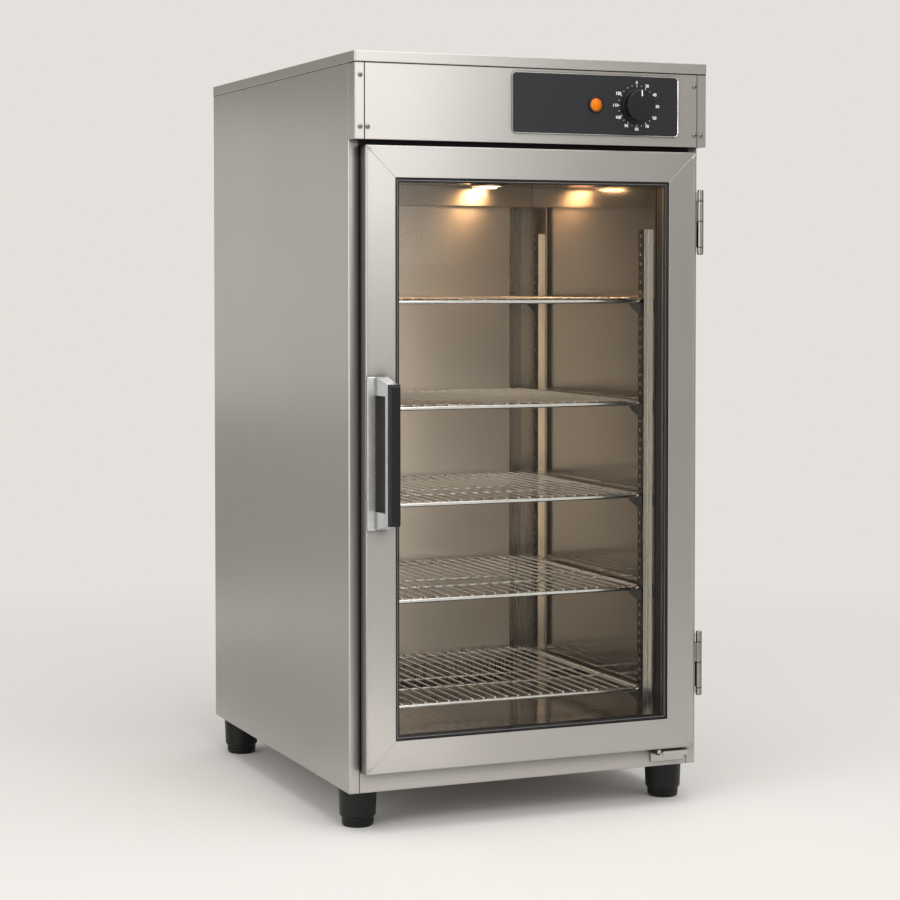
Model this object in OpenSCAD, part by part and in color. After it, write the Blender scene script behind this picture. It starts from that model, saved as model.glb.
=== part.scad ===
// Plate warmer cabinet with a glazed door, five wire shelves and a control header.
// Millimetres. +X right, -Y front, +Z up, origin on the floor below the middle of the cabinet.

/* [Cabinet body] */
// Width over the two side panels
body_w = 594; // [540:2:680]
// Depth from the front flanges to the back of the cabinet
body_d = 690; // [660:2:760]
// Height of the side panels
body_h = 1104; // [1090:2:1200]
// Thickness of the outer steel sheet
skin_t = 1.2; // [0.9:0.1:1.5]
// Width of the flange folded inwards along the front of each side panel
flange_w = 16; // [14:0.5:20]
// Outer radius of the folded corners
bend_r = 2.4; // [2:0.1:4]
// Height of the lid's rim
lid_h = 16; // [12:0.5:24]
// Distance that the lid stands out past the panels below it
lid_over = 1; // [0.5:0.5:3]
// Width of the lip folded under the lid's rim
lid_lip = 14; // [8:1:20]
// Height of the rail below the door
rail_h = 31; // [28:0.5:31]
// Depth of the bottom rail's folded edges
rail_d = 20; // [14:1:30]
// Height of the base pan's upturned edge
pan_edge = 24; // [14:1:28]
// Width of the folded top edge of each side panel
top_fold = 22; // [16:1:30]
// Thickness of the insulation behind and above the chamber
wool_t = 36; // [30:1:50]
// Lowest row of vent slots in the back panel
vent_low = 130; // [110:5:200]
// Height of a vent slot
vent_h = 24; // [16:1:30]
// Width of a vent slot
vent_w = 5; // [4:0.5:8]
// Spacing of the vent slots
vent_pitch = 16; // [12:1:20]

/* [Control header] */
// Height of the header, down from the lid
header_h = 115.5; // [110:0.5:118]
// Distance that the door and the header stand in front of the flanges
proud = 27.5; // [26:0.5:32]
// Width of each end cap of the header
end_cap_w = 15.5; // [12:0.5:20]
// Width of the dark control plate
plate_w = 284; // [260:1:300]
// Height of the dark control plate
plate_h = 90.5; // [86:0.5:100]
// Thickness of the control plate
plate_t = 2; // [1.5:0.5:4]
// Corner radius of the control plate
plate_r = 5; // [2:0.5:12]
// Control plate's middle, in from the outside of the right panel
plate_in = 194; // [170:1:210]
// Indicator lamp, left of the control plate's middle
lamp_off = 1.5; // [-10:0.5:60]
// Thermostat knob, right of the control plate's middle
knob_off = 70; // [60:0.5:100]
// Diameter of the knob's skirt
knob_d = 52; // [44:1:60]
// Length of the knob
knob_h = 18; // [15:0.5:24]
// Diameter of the thermostat's spindle
spindle_d = 6; // [5:0.5:7]
// Diameter of the indicator's black bezel
bezel_d = 26; // [24:1:30]
// Diameter of the indicator's orange lens
lens_d = 21; // [16:1:22]

/* [Door] */
// Gap between the door and the flanges at its sides
door_gap = 1.5; // [1:0.1:2.5]
// Height of the door's lower edge above the bottom of the side panels
door_z = 33; // [33:0.5:36]
// Gap between the door and the header
head_gap = 8.5; // [5:0.5:14]
// Face width of the door's stiles and rails
stile_w = 47.5; // [44:0.5:54]
// Thickness of the door's steel skins
door_skin = 1.2; // [1:0.1:1.5]
// Depth that the black glazing frame reaches in behind the flanges
plug_d = 22; // [18:1:24]
// Width of the glazing frame's sides where it enters the cabinet
plug_w = 13.5; // [10:0.5:14]
// Height of the glazing frame's top and bottom where it enters the cabinet
plug_v = 7; // [6:0.5:8]
// Thickness of each glass pane
glass_t = 4; // [3:0.5:5]
// Depth of the outer pane behind the door's face
pane_in = 5; // [4:0.5:8]
// Width of the rubber door seal
seal_w = 15; // [12:1:16]
// Thickness of the door seal when the door is shut
seal_t = 3.5; // [2.5:0.1:4.5]
// Outer edge of the door seal, in from the door's edge
seal_in = 3; // [2:0.5:4]

/* [Handle] */
// Height of the handle's foot plate
handle_h = 231; // [200:1:260]
// Lower end of the handle above the bottom of the side panels
handle_z = 402.5; // [380:0.5:440]
// Width of the handle's foot plate
handle_w = 33; // [30:0.5:38]
// Distance from the door's face to the front of the grip
handle_reach = 56; // [48:0.5:64]
// Width of the black grip
grip_w = 16.5; // [14:0.5:18]
// Thickness of the black grip
grip_t = 13; // [10:0.5:15]
// Height of each handle arm where it meets the door
arm_h = 28; // [22:1:34]

/* [Hinges] */
// Diameter of the hinge barrels
barrel_d = 10; // [9:0.1:11]
// Diameter of the hinge pins
pin_d = 6; // [5:0.5:6.5]
// Hinge axis, in from the outside of the right panel
hinge_in = 7.9; // [7:0.1:8.5]
// Hinge axis, behind the door's face
hinge_back = 1.5; // [0:0.1:3]
// Upper end of the upper hinge, below the door's upper edge
upper_hinge_in = 58.6; // [40:0.2:120]
// Upper end of the lower hinge, above the door's lower edge
lower_hinge_in = 184.7; // [140:0.1:240]
// Height of a hinge's upper cap
cap_top_h = 17.6; // [10:0.2:24]
// Height of the knuckle that carries the door
door_knuckle_h = 32; // [24:0.5:40]
// Height of the knuckle on the cabinet
frame_knuckle_h = 41; // [30:0.5:50]
// Height of a hinge's lower cap
cap_low_h = 12; // [8:0.5:18]

/* [Chamber] */
// Thickness of the insulated side walls
wall_t = 44; // [42:0.5:44]
// Height of the chamber floor above the bottom of the side panels
floor_z = 71; // [66:0.5:71.5]
// Distance from the chamber ceiling up to the lid
ceil_drop = 159; // [150:0.5:162]
// Depth of the service space between the chamber and the back panel
service_d = 109; // [90:1:130]
// Depth of the air space behind the baffle
plenum_d = 44; // [42:1:60]
// Thickness of the liner sheets
liner_t = 1; // [0.8:0.1:1.2]
// Gap between the back baffle and each side wall
baffle_side = 43; // [30:1:50]
// Gap below the back baffle
baffle_gap = 22; // [16:1:40]
// Height of the air duct under the ceiling
duct_h = 36; // [36:1:48]
// Distance that the air duct stands in front of the baffle
duct_out = 6; // [5:0.5:10]

/* [Shelf supports] */
// Width of a slotted pilaster
pilaster_w = 21; // [16:0.5:24]
// Distance that a pilaster stands off the wall
pilaster_d = 8; // [6:0.5:9]
// Front edge of the front pilasters, behind the flanges
pilaster_front_y = 82; // [76:1:100]
// Front edge of the rear pilasters, in front of the baffle
pilaster_rear_in = 48; // [46:1:70]
// Width of the foot strip on each side of a rear pilaster
pilaster_foot = 17.5; // [10:0.5:18]
// Spacing of the pilasters' slots
slot_pitch = 15.1; // [12:0.1:16]
// Height of a slot
slot_h = 5; // [4:0.5:6]
// Width of a slot
slot_w = 9; // [6:0.5:10]
// Least distance from the top slot to the ceiling
slot_top = 76; // [60:1:120]
// Lowest shelf, above the chamber floor
shelf_low = 39; // [30:1:60]
// Depth of a shelf clip, out from its pilaster
clip_out = 21; // [16:1:26]
// Height of a shelf clip
clip_h = 18; // [12:1:20]
// Thickness of a shelf clip
clip_t = 2; // [1.5:0.5:3]

/* [Shelves] */
// Front of the shelves, behind the flanges
shelf_y = 80; // [72:1:84]
// Gap between the shelves and the baffle
shelf_back = 9; // [8:1:20]
// Diameter of a shelf's frame rod
frame_rod_d = 7.5; // [6:0.5:8]
// Diameter of a shelf's wires
wire_d = 3; // [2.5:0.25:4]
// Greatest spacing of a shelf's wires
wire_pitch = 20; // [18:1:30]
// Corner radius of a shelf's frame
shelf_r = 14; // [10:1:24]
// Gap between a shelf and the pilasters
shelf_gap = 1; // [1:0.5:3]
// First cross rod, behind the shelf's front rod
cross_rod_1 = 134; // [100:2:180]
// Second cross rod, behind the shelf's front rod
cross_rod_2 = 214; // [200:2:320]
// Last cross rod, in front of the shelf's rear rod
cross_rod_3 = 24; // [14:1:40]
// Distance that the wires sink into the rods they are welded to
weld = 0.6; // [0.4:0.1:0.8]

/* [Feet] */
// Height of a foot, screwed right in
foot_h = 60; // [56:1:90]
// Diameter of a foot's sleeve
foot_d = 59; // [54:1:60]
// Diameter of a foot's adjuster
adjuster_d = 50; // [44:1:50]
// Height of the part of the adjuster that shows
adjuster_h = 14; // [10:1:18]
// Foot's axis, in from the side panels
foot_in_x = 32; // [31.5:0.5:50]
// Foot's axis, in from the front and the back
foot_in_y = 50; // [40:1:70]

/* [Lamps, heating and fan] */
// Diameter of a ceiling lamp's ring
ring_d = 62; // [54:1:70]
// Ceiling lamps, left and right of the middle
ceiling_lamp_x = 130; // [90:1:180]
// Front ceiling lamps, behind the flanges
front_lamp_y = 150; // [100:1:200]
// Rear ceiling lamps, in front of the baffle
rear_lamp_in = 87; // [60:1:140]
// Diameter of the tubular heater
heater_d = 8; // [6.5:0.5:9]
// Number of the heater's upright runs
heater_runs = 6; // [4:2:8]
// Height of the heater's runs
heater_h = 260; // [200:5:300]
// Lower end of the heater's runs, above the chamber floor
heater_low = 60; // [50:1:100]
// Radius of the heater's bends
heater_r = 30; // [24:1:32]
// Diameter of the crossflow fan wheel
fan_d = 32; // [26:1:34]
// Length of the crossflow fan wheel
fan_len = 260; // [220:2:280]
// Left end of the fan wheel, in from the chamber's left wall
fan_in = 60; // [40:1:90]
// Number of blades on the fan wheel
blade_n = 16; // [12:1:24]

/* [Door rest] */
// Length of the rest bracket
rest_w = 47; // [40:1:60]
// Right end of the rest bracket, in from the outside of the right panel
rest_in = 21.5; // [20:0.5:40]
// Distance that the rest bracket reaches forward
rest_out = 20; // [18:0.5:26]
// Diameter of the rest roller
roller_d = 12; // [10:0.5:14]

/* [Fits] */
// Gap between pieces that are set beside each other
seat = 0.2; // [0.1:0.05:0.3]
// Radial clearance of pins and spindles that turn
run = 0.05; // [0.02:0.01:0.1]

/* [Hidden] */
$fn = 48;
half_w = body_w / 2;
door_w = body_w - 2 * (flange_w + door_gap);
half_door = door_w / 2;
header_z = body_h - header_h;
door_top = header_z - head_gap;
half_win = half_door - stile_w;
win_z0 = door_z + stile_w;
win_z1 = door_top - stile_w;
control_z = body_h - 53.5;
half_in = half_w - wall_t;
ceil_z = body_h - ceil_drop;
chamber_h = ceil_z - floor_z;
back_y = body_d - service_d;
baffle_y = back_y - plenum_d;
plate_x = half_w - plate_in;
lamp_x = plate_x - lamp_off;
knob_x = plate_x + knob_off;
shelf_d = baffle_y - shelf_back - shelf_y;
pilaster_rear_y = baffle_y - pilaster_rear_in;
barrel_r = barrel_d / 2;
hinge_x = half_w - hinge_in;
hinge_y = hinge_back - proud;
knuckle_gap = 0.2;
pil_x = half_in - pilaster_d;
half_shelf = pil_x - shelf_gap;
slot_z0 = floor_z + shelf_low - slot_h / 2;
slot_n = floor((ceil_z - slot_top - slot_z0) / slot_pitch);
top_slot = slot_n - 8;
mid_slot = round(top_slot / 2);
slot_step = floor(top_slot / 4);
shelf_slots = [0, mid_slot - slot_step, mid_slot, mid_slot + slot_step, top_slot];
gland_d = 26;
gland_out = 22;
gland_z = 70;
gland_x = half_w - 70;
front_y = -proud - handle_reach;
rear_y = body_d + gland_out;
mid_y = (front_y + rear_y) / 2;
sleeve_h = foot_h - adjuster_h;
stem_d = 30;
stem_h = sleeve_h - 12;
screw_d = 4;
screw_head = 7;
duct_z = ceil_z - duct_h;
rod_r = frame_rod_d / 2;
roller_x = half_w - rest_in - rest_w - roller_d / 2 - 0.5;
roller_z = door_z - 0.3 - roller_d / 2;

// ---- helpers ----------------------------------------------------------------

// From the working frame (y = 0 at the front flanges, z = 0 at the bottom of the
// side panels) to the frame that the part is handed over in.
module place() translate([0, -mid_y, foot_h]) children();

// Box between two corners
module box(a, b) translate(a) cube(b - a);

// Mirrored copy for the left side where s is -1
module side(s) scale([s, 1, 1]) children();

// Rectangle with round corners, between two corners
module round_rect(a, b, r) {
    translate([a.x + r, a.y]) square([b.x - a.x - 2 * r, b.y - a.y]);
    translate([a.x, a.y + r]) square([b.x - a.x, b.y - a.y - 2 * r]);
    for (x = [a.x + r, b.x - r])
        for (y = [a.y + r, b.y - r])
            translate([x, y]) circle(r);
}

// Outline in X and Z, given thickness from y0 to y1
module upright(y0, y1)
    translate([0, y1, 0]) rotate([90, 0, 0]) linear_extrude(y1 - y0) children();

// Outline in Y and Z, given thickness from x0 to x1
module along_x(x0, x1)
    translate([x0, 0, 0]) rotate([90, 0, 90]) linear_extrude(x1 - x0) children();

// Rectangular ring in X and Z
module ring_xz(half, z0, z1, w)
    difference() {
        translate([-half, z0]) square([2 * half, z1 - z0]);
        translate([-half + w, z0 + w]) square([2 * (half - w), z1 - z0 - 2 * w]);
    }

// Round hole or rod along Y
module rod_y(x, z, d, y0, y1)
    translate([x, y0, z]) rotate([-90, 0, 0]) cylinder(d = d, h = y1 - y0);

// Rod along X
module rod_x(y, z, d, x0, x1)
    translate([x0, y, z]) rotate([0, 90, 0]) cylinder(d = d, h = x1 - x0);

// ---- cabinet shell ----------------------------------------------------------

// Side panel's section: skin with a rounded fold, front flange and its return
module side_section() {
    t = skin_t;
    translate([half_w - t, bend_r]) square([t, body_d - bend_r]);
    translate([half_w - flange_w, 0]) square([flange_w - bend_r, t]);
    translate([half_w - flange_w, 0]) square([t, 14]);
    intersection() {
        translate([half_w - bend_r, bend_r])
            difference() {
                circle(bend_r);
                circle(bend_r - t);
            }
        translate([half_w - bend_r, 0]) square([bend_r, bend_r]);
    }
}

module side_panel(s)
    color("silver")
        side(s) {
            linear_extrude(body_h) side_section();
            // folded top edge that the lid sits on
            box([half_w - top_fold, bend_r + 17, body_h - skin_t], [half_w - skin_t / 2, body_d - 4, body_h]);
        }

module side_panel_left() side_panel(-1);
module side_panel_right() side_panel(1);

// Rows of upright vent slots in the back panel
module vent_rows(z0, rows)
    for (r = [0 : rows - 1])
        for (i = [-8 : 8])
            upright(body_d - 3, body_d + 1)
                translate([i * vent_pitch, z0 + r * (vent_h + 10)])
                    round_rect([-vent_w / 2, 0], [vent_w / 2, vent_h], vent_w / 2 - 0.1);

module back_panel()
    color("silver")
        difference() {
            box([-half_w + skin_t, body_d - skin_t, 0], [half_w - skin_t, body_d, body_h - skin_t]);
            vent_rows(body_h - 99, 2);
            vent_rows(vent_low, 3);
            rod_y(gland_x, gland_z, 20.4, body_d - 4, body_d + 1);
        }

module base_pan()
    color("silver")
        difference() {
            box([-half_w + skin_t, rail_d, 0], [half_w - skin_t, body_d - skin_t, pan_edge]);
            box(
                [-half_w + 2 * skin_t, rail_d + skin_t, skin_t],
                [half_w - 2 * skin_t, body_d - 2 * skin_t, pan_edge + 1]
            );
        }

module lid() {
    x = half_w + lid_over;
    y = -proud - lid_over;
    t = skin_t;
    color("silver")
        translate([0, 0, body_h])
            difference() {
                linear_extrude(lid_h) round_rect([-x, y], [x, body_d], 2);
                box([-x + t, y + t, t], [x - t, body_d - t, lid_h - t]);
                box(
                    [-x + lid_lip, y + lid_lip, -1],
                    [x - lid_lip, body_d - lid_lip, t + 1]
                );
            }
}

// ---- header -----------------------------------------------------------------

// Screws that hold the end caps and the fascia, as [x, z]
cap_screw_x = half_w - end_cap_w / 2 - 1;
fascia_screw_x = half_w - end_cap_w - 5;
screw_top = body_h - 20;
screw_low = body_h - 97;
header_screw_at = [
    [-cap_screw_x, screw_top], [-cap_screw_x, screw_low], [-fascia_screw_x, screw_low],
    [fascia_screw_x, screw_top], [fascia_screw_x, screw_low], [cap_screw_x, screw_low]
];

module screw_holes()
    for (p = header_screw_at)
        rod_y(p.x, p[1], screw_d + 2 * run, -proud - 1, -proud + skin_t + 1);

module header_fascia() {
    x = half_w - end_cap_w - seat / 2;
    t = skin_t;
    color("silver")
        difference() {
            union() {
                box([-x, -proud, header_z], [x, -proud + t, body_h]);
                box([-x, -proud, header_z], [x, 0, header_z + t]);
                box([-x, -proud, body_h - t], [x, 0, body_h]);
            }
            screw_holes();
            rod_y(lamp_x, control_z, lens_d - 1 + 2 * run, -proud - 1, -proud + t + 1);
            rod_y(knob_x, control_z, 10 + 2 * run, -proud - 1, -proud + t + 1);
        }
}

module header_end(s) {
    t = skin_t;
    color("silver")
        difference() {
            side(s)
                difference() {
                    box([half_w - end_cap_w, -proud, header_z], [half_w, 0, body_h]);
                    box([half_w - end_cap_w - 1, -proud + t, header_z + t],
                        [half_w - t, 1, body_h - t]);
                }
            screw_holes();
        }
}

module header_end_left() header_end(-1);
module header_end_right() header_end(1);

module header_screws()
    color("gainsboro")
        for (p = header_screw_at)
            translate([p.x, -proud, p[1]])
                rotate([90, 0, 0]) {
                    difference() {
                        intersection() {
                            cylinder(d = screw_head, h = 2.2);
                            translate([0, 0, -3.4]) sphere(5.4);
                        }
                        translate([0, 0, 2]) cube([1, 4.4, 1.8], center = true);
                        translate([0, 0, 2]) cube([4.4, 1, 1.8], center = true);
                    }
                    translate([0, 0, -7]) cylinder(d = screw_d, h = 7.1);
                }

module control_plate()
    color("#333538")
        difference() {
            upright(-proud - plate_t, -proud)
                round_rect(
                    [plate_x - plate_w / 2, control_z - plate_h / 2],
                    [plate_x + plate_w / 2, control_z + plate_h / 2],
                    plate_r
                );
            rod_y(lamp_x, control_z, lens_d - 1 + 2 * run, -proud - plate_t - 1, 0);
            rod_y(knob_x, control_z, 10 + 2 * run, -proud - plate_t - 1, 0);
        }

// Black bezel with the lamp's threaded body behind the fascia
module indicator_bezel()
    color("#1c1c1c")
        translate([lamp_x, -proud - plate_t, control_z])
            rotate([90, 0, 0])
                rotate_extrude()
                    difference() {
                        union() {
                            translate([0, -32]) square([(lens_d - 1) / 2, 32.1]);
                            translate([0, 0]) square([bezel_d / 2 - 1, 3]);
                            translate([0, 0]) square([bezel_d / 2, 2]);
                            translate([bezel_d / 2 - 1, 2]) circle(1);
                        }
                        translate([-1, 1]) square([lens_d / 2 + 1, 5]);
                        translate([-5, -40]) square([5, 60]);
                    }

module indicator_lens()
    color("orange")
        translate([lamp_x, -proud - plate_t - 1, control_z])
            rotate([90, 0, 0])
                intersection() {
                    cylinder(d = lens_d, h = 8);
                    translate([0, 0, 6 - 13]) sphere(13);
                }

// Capillary thermostat: bushing, nut, body and two terminals
module thermostat()
    color("#6a6c6e")
        translate([knob_x, -proud, control_z])
            rotate([90, 0, 0])
                difference() {
                    union() {
                        translate([0, 0, -8]) cylinder(d = 10, h = 8 + plate_t + 3);
                        translate([0, 0, plate_t])
                            cylinder(d = 16, h = 2.6, $fn = 6);
                        translate([-22, -22, -36]) cube([44, 44, 36 - skin_t - 2]);
                        for (x = [-12, 12])
                            translate([x - 3, -1, -46]) cube([6, 2, 10.1]);
                    }
                    translate([0, 0, -30]) cylinder(r = spindle_d / 2 + run, h = 60);
                }

// ---- front below and around the door ----------------------------------------

module bottom_rail() {
    x = half_w - flange_w - seat;
    t = skin_t;
    color("silver")
        difference() {
            box([-x, 0, 0], [x, rail_d, rail_h]);
            box([-x - 1, t, t], [x + 1, rail_d + 1, rail_h - t]);
        }
}

// Face frame between the flanges, which the door seal presses on
module front_frame() {
    x = half_w - flange_w - seat;
    color("silver")
        upright(0, skin_t)
            difference() {
                translate([-x, rail_h + seat])
                    square([2 * x, body_h - skin_t - rail_h - 2 * seat]);
                translate([-half_in, floor_z]) square([2 * half_in, chamber_h]);
                // cut-out for the bodies of the indicator and the thermostat
                translate([lamp_x - 16, control_z - 28]) square([knob_x - lamp_x + 42, 56]);
            }
}

// ---- chamber liner ----------------------------------------------------------

liner_y0 = skin_t;

module liner_side(s)
    color("tan")
        side(s) box([half_in, liner_y0, floor_z - liner_t], [half_in + liner_t, back_y, ceil_z + liner_t]);

module liner_left() liner_side(-1);
module liner_right() liner_side(1);

module liner_back()
    color("tan")
        difference() {
            box(
                [-half_in - liner_t, back_y, floor_z - liner_t],
                [half_in + liner_t, back_y + liner_t, ceil_z + liner_t]
            );
            for (x = [heater_x0, -heater_x0])
                rod_y(x, heater_z0 - end_r, heater_d + 2 * run, back_y - 1, back_y + liner_t + 1);
        }

lamp_at = [
    for (x = [-ceiling_lamp_x, ceiling_lamp_x])
        for (y = [front_lamp_y, baffle_y - rear_lamp_in])
            [x, y]
];
pod_d = ring_d - 12;

module lamp_holes(d, z0, z1)
    for (p = lamp_at)
        translate([p.x, p.y, z0]) cylinder(d = d, h = z1 - z0);

module liner_ceiling()
    color("tan")
        difference() {
            box([-half_in, liner_y0, ceil_z], [half_in, back_y, ceil_z + liner_t]);
            lamp_holes(pod_d + 2 * run, ceil_z - 1, ceil_z + liner_t + 1);
        }

module liner_floor()
    color("tan")
        box([-half_in, liner_y0, floor_z - liner_t], [half_in, back_y, floor_z]);

module back_baffle() {
    x = half_in - baffle_side;
    t = liner_t;
    color("tan")
        difference() {
            box([-x, baffle_y, floor_z + baffle_gap], [x, back_y, duct_z]);
            box([-x + t, baffle_y + t, floor_z], [x - t, back_y + 1, ceil_z]);
        }
}

// Folded duct under the ceiling that hides the fan
module air_duct() {
    x = half_in - seat;
    y = baffle_y - duct_out;
    t = liner_t;
    color("tan")
        along_x(-x, x)
            union() {
                translate([y, duct_z + 3]) square([t, duct_h - 3]);
                translate([y + 3, duct_z]) square([duct_out - 3 + 6, t]);
                intersection() {
                    translate([y + 3, duct_z + 3])
                        difference() {
                            circle(3);
                            circle(3 - t);
                        }
                    translate([y, duct_z]) square([3, 3]);
                }
            }
}

module insulation_slabs() {
    a = half_in + liner_t;
    b = half_w - skin_t;
    y0 = 24;
    y1 = back_y + liner_t;
    z0 = pan_edge + 8;
    color("khaki") {
        for (s = [-1, 1])
            side(s) box([a, y0, z0], [b, y1, ceil_z + wool_t]);
        difference() {
            box([-a + seat, y1, z0], [a - seat, y1 + wool_t, ceil_z + wool_t]);
            for (x = [heater_x0, -heater_x0])
                rod_y(x, heater_z0 - end_r, heater_d + 2, y1 - 1, y1 + wool_t + 1);
        }
        box([-a + seat, y0, z0], [a - seat, y1 - seat, floor_z - liner_t]);
        difference() {
            box([-a + seat, y0, ceil_z + liner_t], [a - seat, y1 - seat, ceil_z + wool_t]);
            lamp_holes(pod_d + 2, ceil_z, ceil_z + wool_t + 4);
        }
    }
}

// ---- shelf supports ---------------------------------------------------------

function slot_z(i) = slot_z0 + i * slot_pitch;
function shelf_z(k) = slot_z(shelf_slots[k]) + slot_h / 2;
pil_z1 = slot_z(slot_n - 1) + slot_h + 8;

// Slotted channel on a side wall, open to the wall
module pilaster(s, y0, foot, top)
    side(s)
        difference() {
            union() {
                box([pil_x, y0, floor_z], [half_in, y0 + pilaster_w, pil_z1]);
                // wide foot strip against the wall
                box([half_in - 1.2, y0 - foot, floor_z], [half_in, y0 + pilaster_w + foot, top]);
            }
            box([pil_x + 1.5, y0 + 1.5, floor_z - 1],
                [half_in + 1, y0 + pilaster_w - 1.5, pil_z1 - 1.5]);
            for (i = [0 : slot_n - 1])
                box([pil_x - 1, y0 + (pilaster_w - slot_w) / 2, slot_z(i)],
                    [pil_x + 3, y0 + (pilaster_w + slot_w) / 2, slot_z(i) + slot_h]);
        }

module pilasters_front()
    color("silver")
        for (s = [-1, 1])
            pilaster(s, pilaster_front_y, 0.5, pil_z1);

module pilasters_rear()
    color("silver")
        for (s = [-1, 1])
            pilaster(s, pilaster_rear_y, pilaster_foot, duct_z);

// Stamped clip: a hook in the slot, a ledge under the shelf and a gusset below it
module shelf_clip(s, y, z) {
    ledge = z - rod_r;
    side(s) {
        upright(y - clip_t / 2, y + clip_t / 2)
            polygon([
                [pil_x, ledge], [pil_x - clip_out, ledge], [pil_x - clip_out, ledge - 4],
                [pil_x - 5, ledge - clip_h], [pil_x, ledge - clip_h]
            ]);
        box([pil_x - clip_out, y - slot_w / 2, ledge - clip_t], [pil_x, y + slot_w / 2, ledge]);
        box([pil_x - 0.1, y - clip_t / 2, z - slot_h / 2 + 0.2], [pil_x + 3, y + clip_t / 2, z + 0.5]);
        box([pil_x - clip_t, y - slot_w / 2, ledge - clip_h], [pil_x, y + slot_w / 2, ledge]);
    }
}

module shelf_clips()
    color("dimgray")
        for (k = [0 : 4])
            for (s = [-1, 1])
                for (y = [pilaster_front_y, pilaster_rear_y])
                    shelf_clip(s, y + pilaster_w / 2, shelf_z(k));

// ---- shelves ----------------------------------------------------------------

module rod_corner(x, y, a)
    translate([x, y, 0])
        rotate([0, 0, a])
            rotate_extrude(angle = 90) translate([shelf_r - rod_r, 0]) circle(rod_r);

wire_n = ceil((2 * half_shelf - 2 * frame_rod_d) / wire_pitch);
wire_step = (2 * half_shelf - frame_rod_d) / wire_n;

// Wire shelf: closed frame rod, cross rods below and wires on top
module shelf(k) {
    h = half_shelf;
    r = shelf_r;
    y1 = shelf_y + shelf_d;
    up = rod_r + wire_d / 2 - weld;
    color("gainsboro")
        translate([0, 0, shelf_z(k)]) {
            for (y = [shelf_y + rod_r, y1 - rod_r])
                rod_x(y, 0, frame_rod_d, -h + r, h - r);
            for (x = [-h + rod_r, h - rod_r])
                rod_y(x, 0, frame_rod_d, shelf_y + r, y1 - r);
            rod_corner(h - r, y1 - r, 0);
            rod_corner(-h + r, y1 - r, 90);
            rod_corner(-h + r, shelf_y + r, 180);
            rod_corner(h - r, shelf_y + r, 270);
            for (y = [cross_rod_1, cross_rod_2, shelf_d - cross_rod_3])
                rod_x(shelf_y + y, up - wire_d / 2 - 2 + weld, 4, -h + rod_r, h - rod_r);
            for (i = [1 : wire_n - 1])
                rod_y(-h + rod_r + i * wire_step, up, wire_d, shelf_y + 1, y1 - 1);
        }
}

module shelf_1() shelf(4);
module shelf_2() shelf(3);
module shelf_3() shelf(2);
module shelf_4() shelf(1);
module shelf_5() shelf(0);

// ---- lamps, heating and fan ---------------------------------------------------

module ceiling_lamp_rings()
    color("silver")
        for (p = lamp_at)
            translate([p.x, p.y, ceil_z])
                rotate_extrude()
                    union() {
                        translate([pod_d / 2 - 2, -3]) square([(ring_d - pod_d) / 2 + 1, 3]);
                        translate([ring_d / 2 - 1, -1.5]) circle(1.5);
                        translate([pod_d / 2 - 1.5, -1]) square([1.5, 31]);
                        translate([0, 28.5]) square([pod_d / 2, 1.5]);
                    }

// Slightly domed glass discs, seen from below
module ceiling_lamp_lenses()
    color("lightyellow")
        for (p = lamp_at)
            translate([p.x, p.y, ceil_z])
                rotate_extrude()
                    polygon([
                        [0, -5], [pod_d / 4, -4.7], [pod_d / 2 - 5, -3.6], [pod_d / 2 - 2, -2],
                        [pod_d / 2 - 2, 0], [0, 0]
                    ]);

heater_x0 = -(heater_runs - 1) * heater_r;
heater_z0 = floor_z + heater_low;
heater_y = baffle_y + plenum_d / 2;
end_r = 10;

// Half bend of the heater, over (up = 1) or under (up = -1) two runs
module heater_bend(x, z, up)
    translate([x, heater_y, z])
        rotate([90 * up, 0, 0])
            rotate_extrude(angle = 180) translate([heater_r, 0]) circle(heater_d / 2);

// Serpentine element whose two ends go back through the liner
module heater_element()
    color("#5c4f47") {
        for (i = [0 : heater_runs - 1])
            translate([heater_x0 + i * 2 * heater_r, heater_y, heater_z0])
                cylinder(d = heater_d, h = heater_h);
        for (i = [0 : heater_runs - 2])
            if (i % 2 == 0)
                heater_bend(heater_x0 + (2 * i + 1) * heater_r, heater_z0 + heater_h, 1);
            else
                heater_bend(heater_x0 + (2 * i + 1) * heater_r, heater_z0, -1);
        // quarter bends and straight ends
        for (x = [heater_x0, -heater_x0]) {
            translate([x, heater_y + end_r, heater_z0])
                rotate([-90, 0, -90])
                    rotate_extrude(angle = 90) translate([end_r, 0]) circle(heater_d / 2);
            rod_y(x, heater_z0 - end_r, heater_d, heater_y + end_r, back_y + 50);
        }
    }

fan_y = baffle_y + plenum_d / 2;
fan_z = duct_z + duct_h / 2;
fan_x0 = -half_in + fan_in;
shaft_d = 5;

// Motor at the fan's right end, its bearing plate at the left end
module fan_motor() {
    x1 = fan_x0 + fan_len;
    color("#4a4d50")
        difference() {
            union() {
                rod_x(fan_y, fan_z, fan_d, x1 + 6, x1 + 46);
                for (x = [fan_x0 - 7, x1 + 4])
                    box([x, fan_y - 12, fan_z - 16], [x + 3, back_y, fan_z + 16]);
            }
            rod_x(fan_y, fan_z, shaft_d + 2 * run, fan_x0 - 10, x1 + 30);
        }
}

// Crossflow wheel: end discs, a ring of blades and the shaft
module fan_wheel() {
    x1 = fan_x0 + fan_len;
    color("#8b9094") {
        rod_x(fan_y, fan_z, shaft_d, fan_x0 - 6, x1 + 28);
        for (x = [fan_x0, x1 - 2])
            rod_x(fan_y, fan_z, fan_d, x, x + 2);
        for (i = [0 : blade_n - 1])
            translate([fan_x0 + 1, fan_y, fan_z])
                rotate([i * 360 / blade_n, 0, 0])
                    translate([0, fan_d / 2 - 6, -0.4])
                        rotate([24, 0, 0]) cube([fan_len - 2, 5.2, 0.8]);
    }
}

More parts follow.
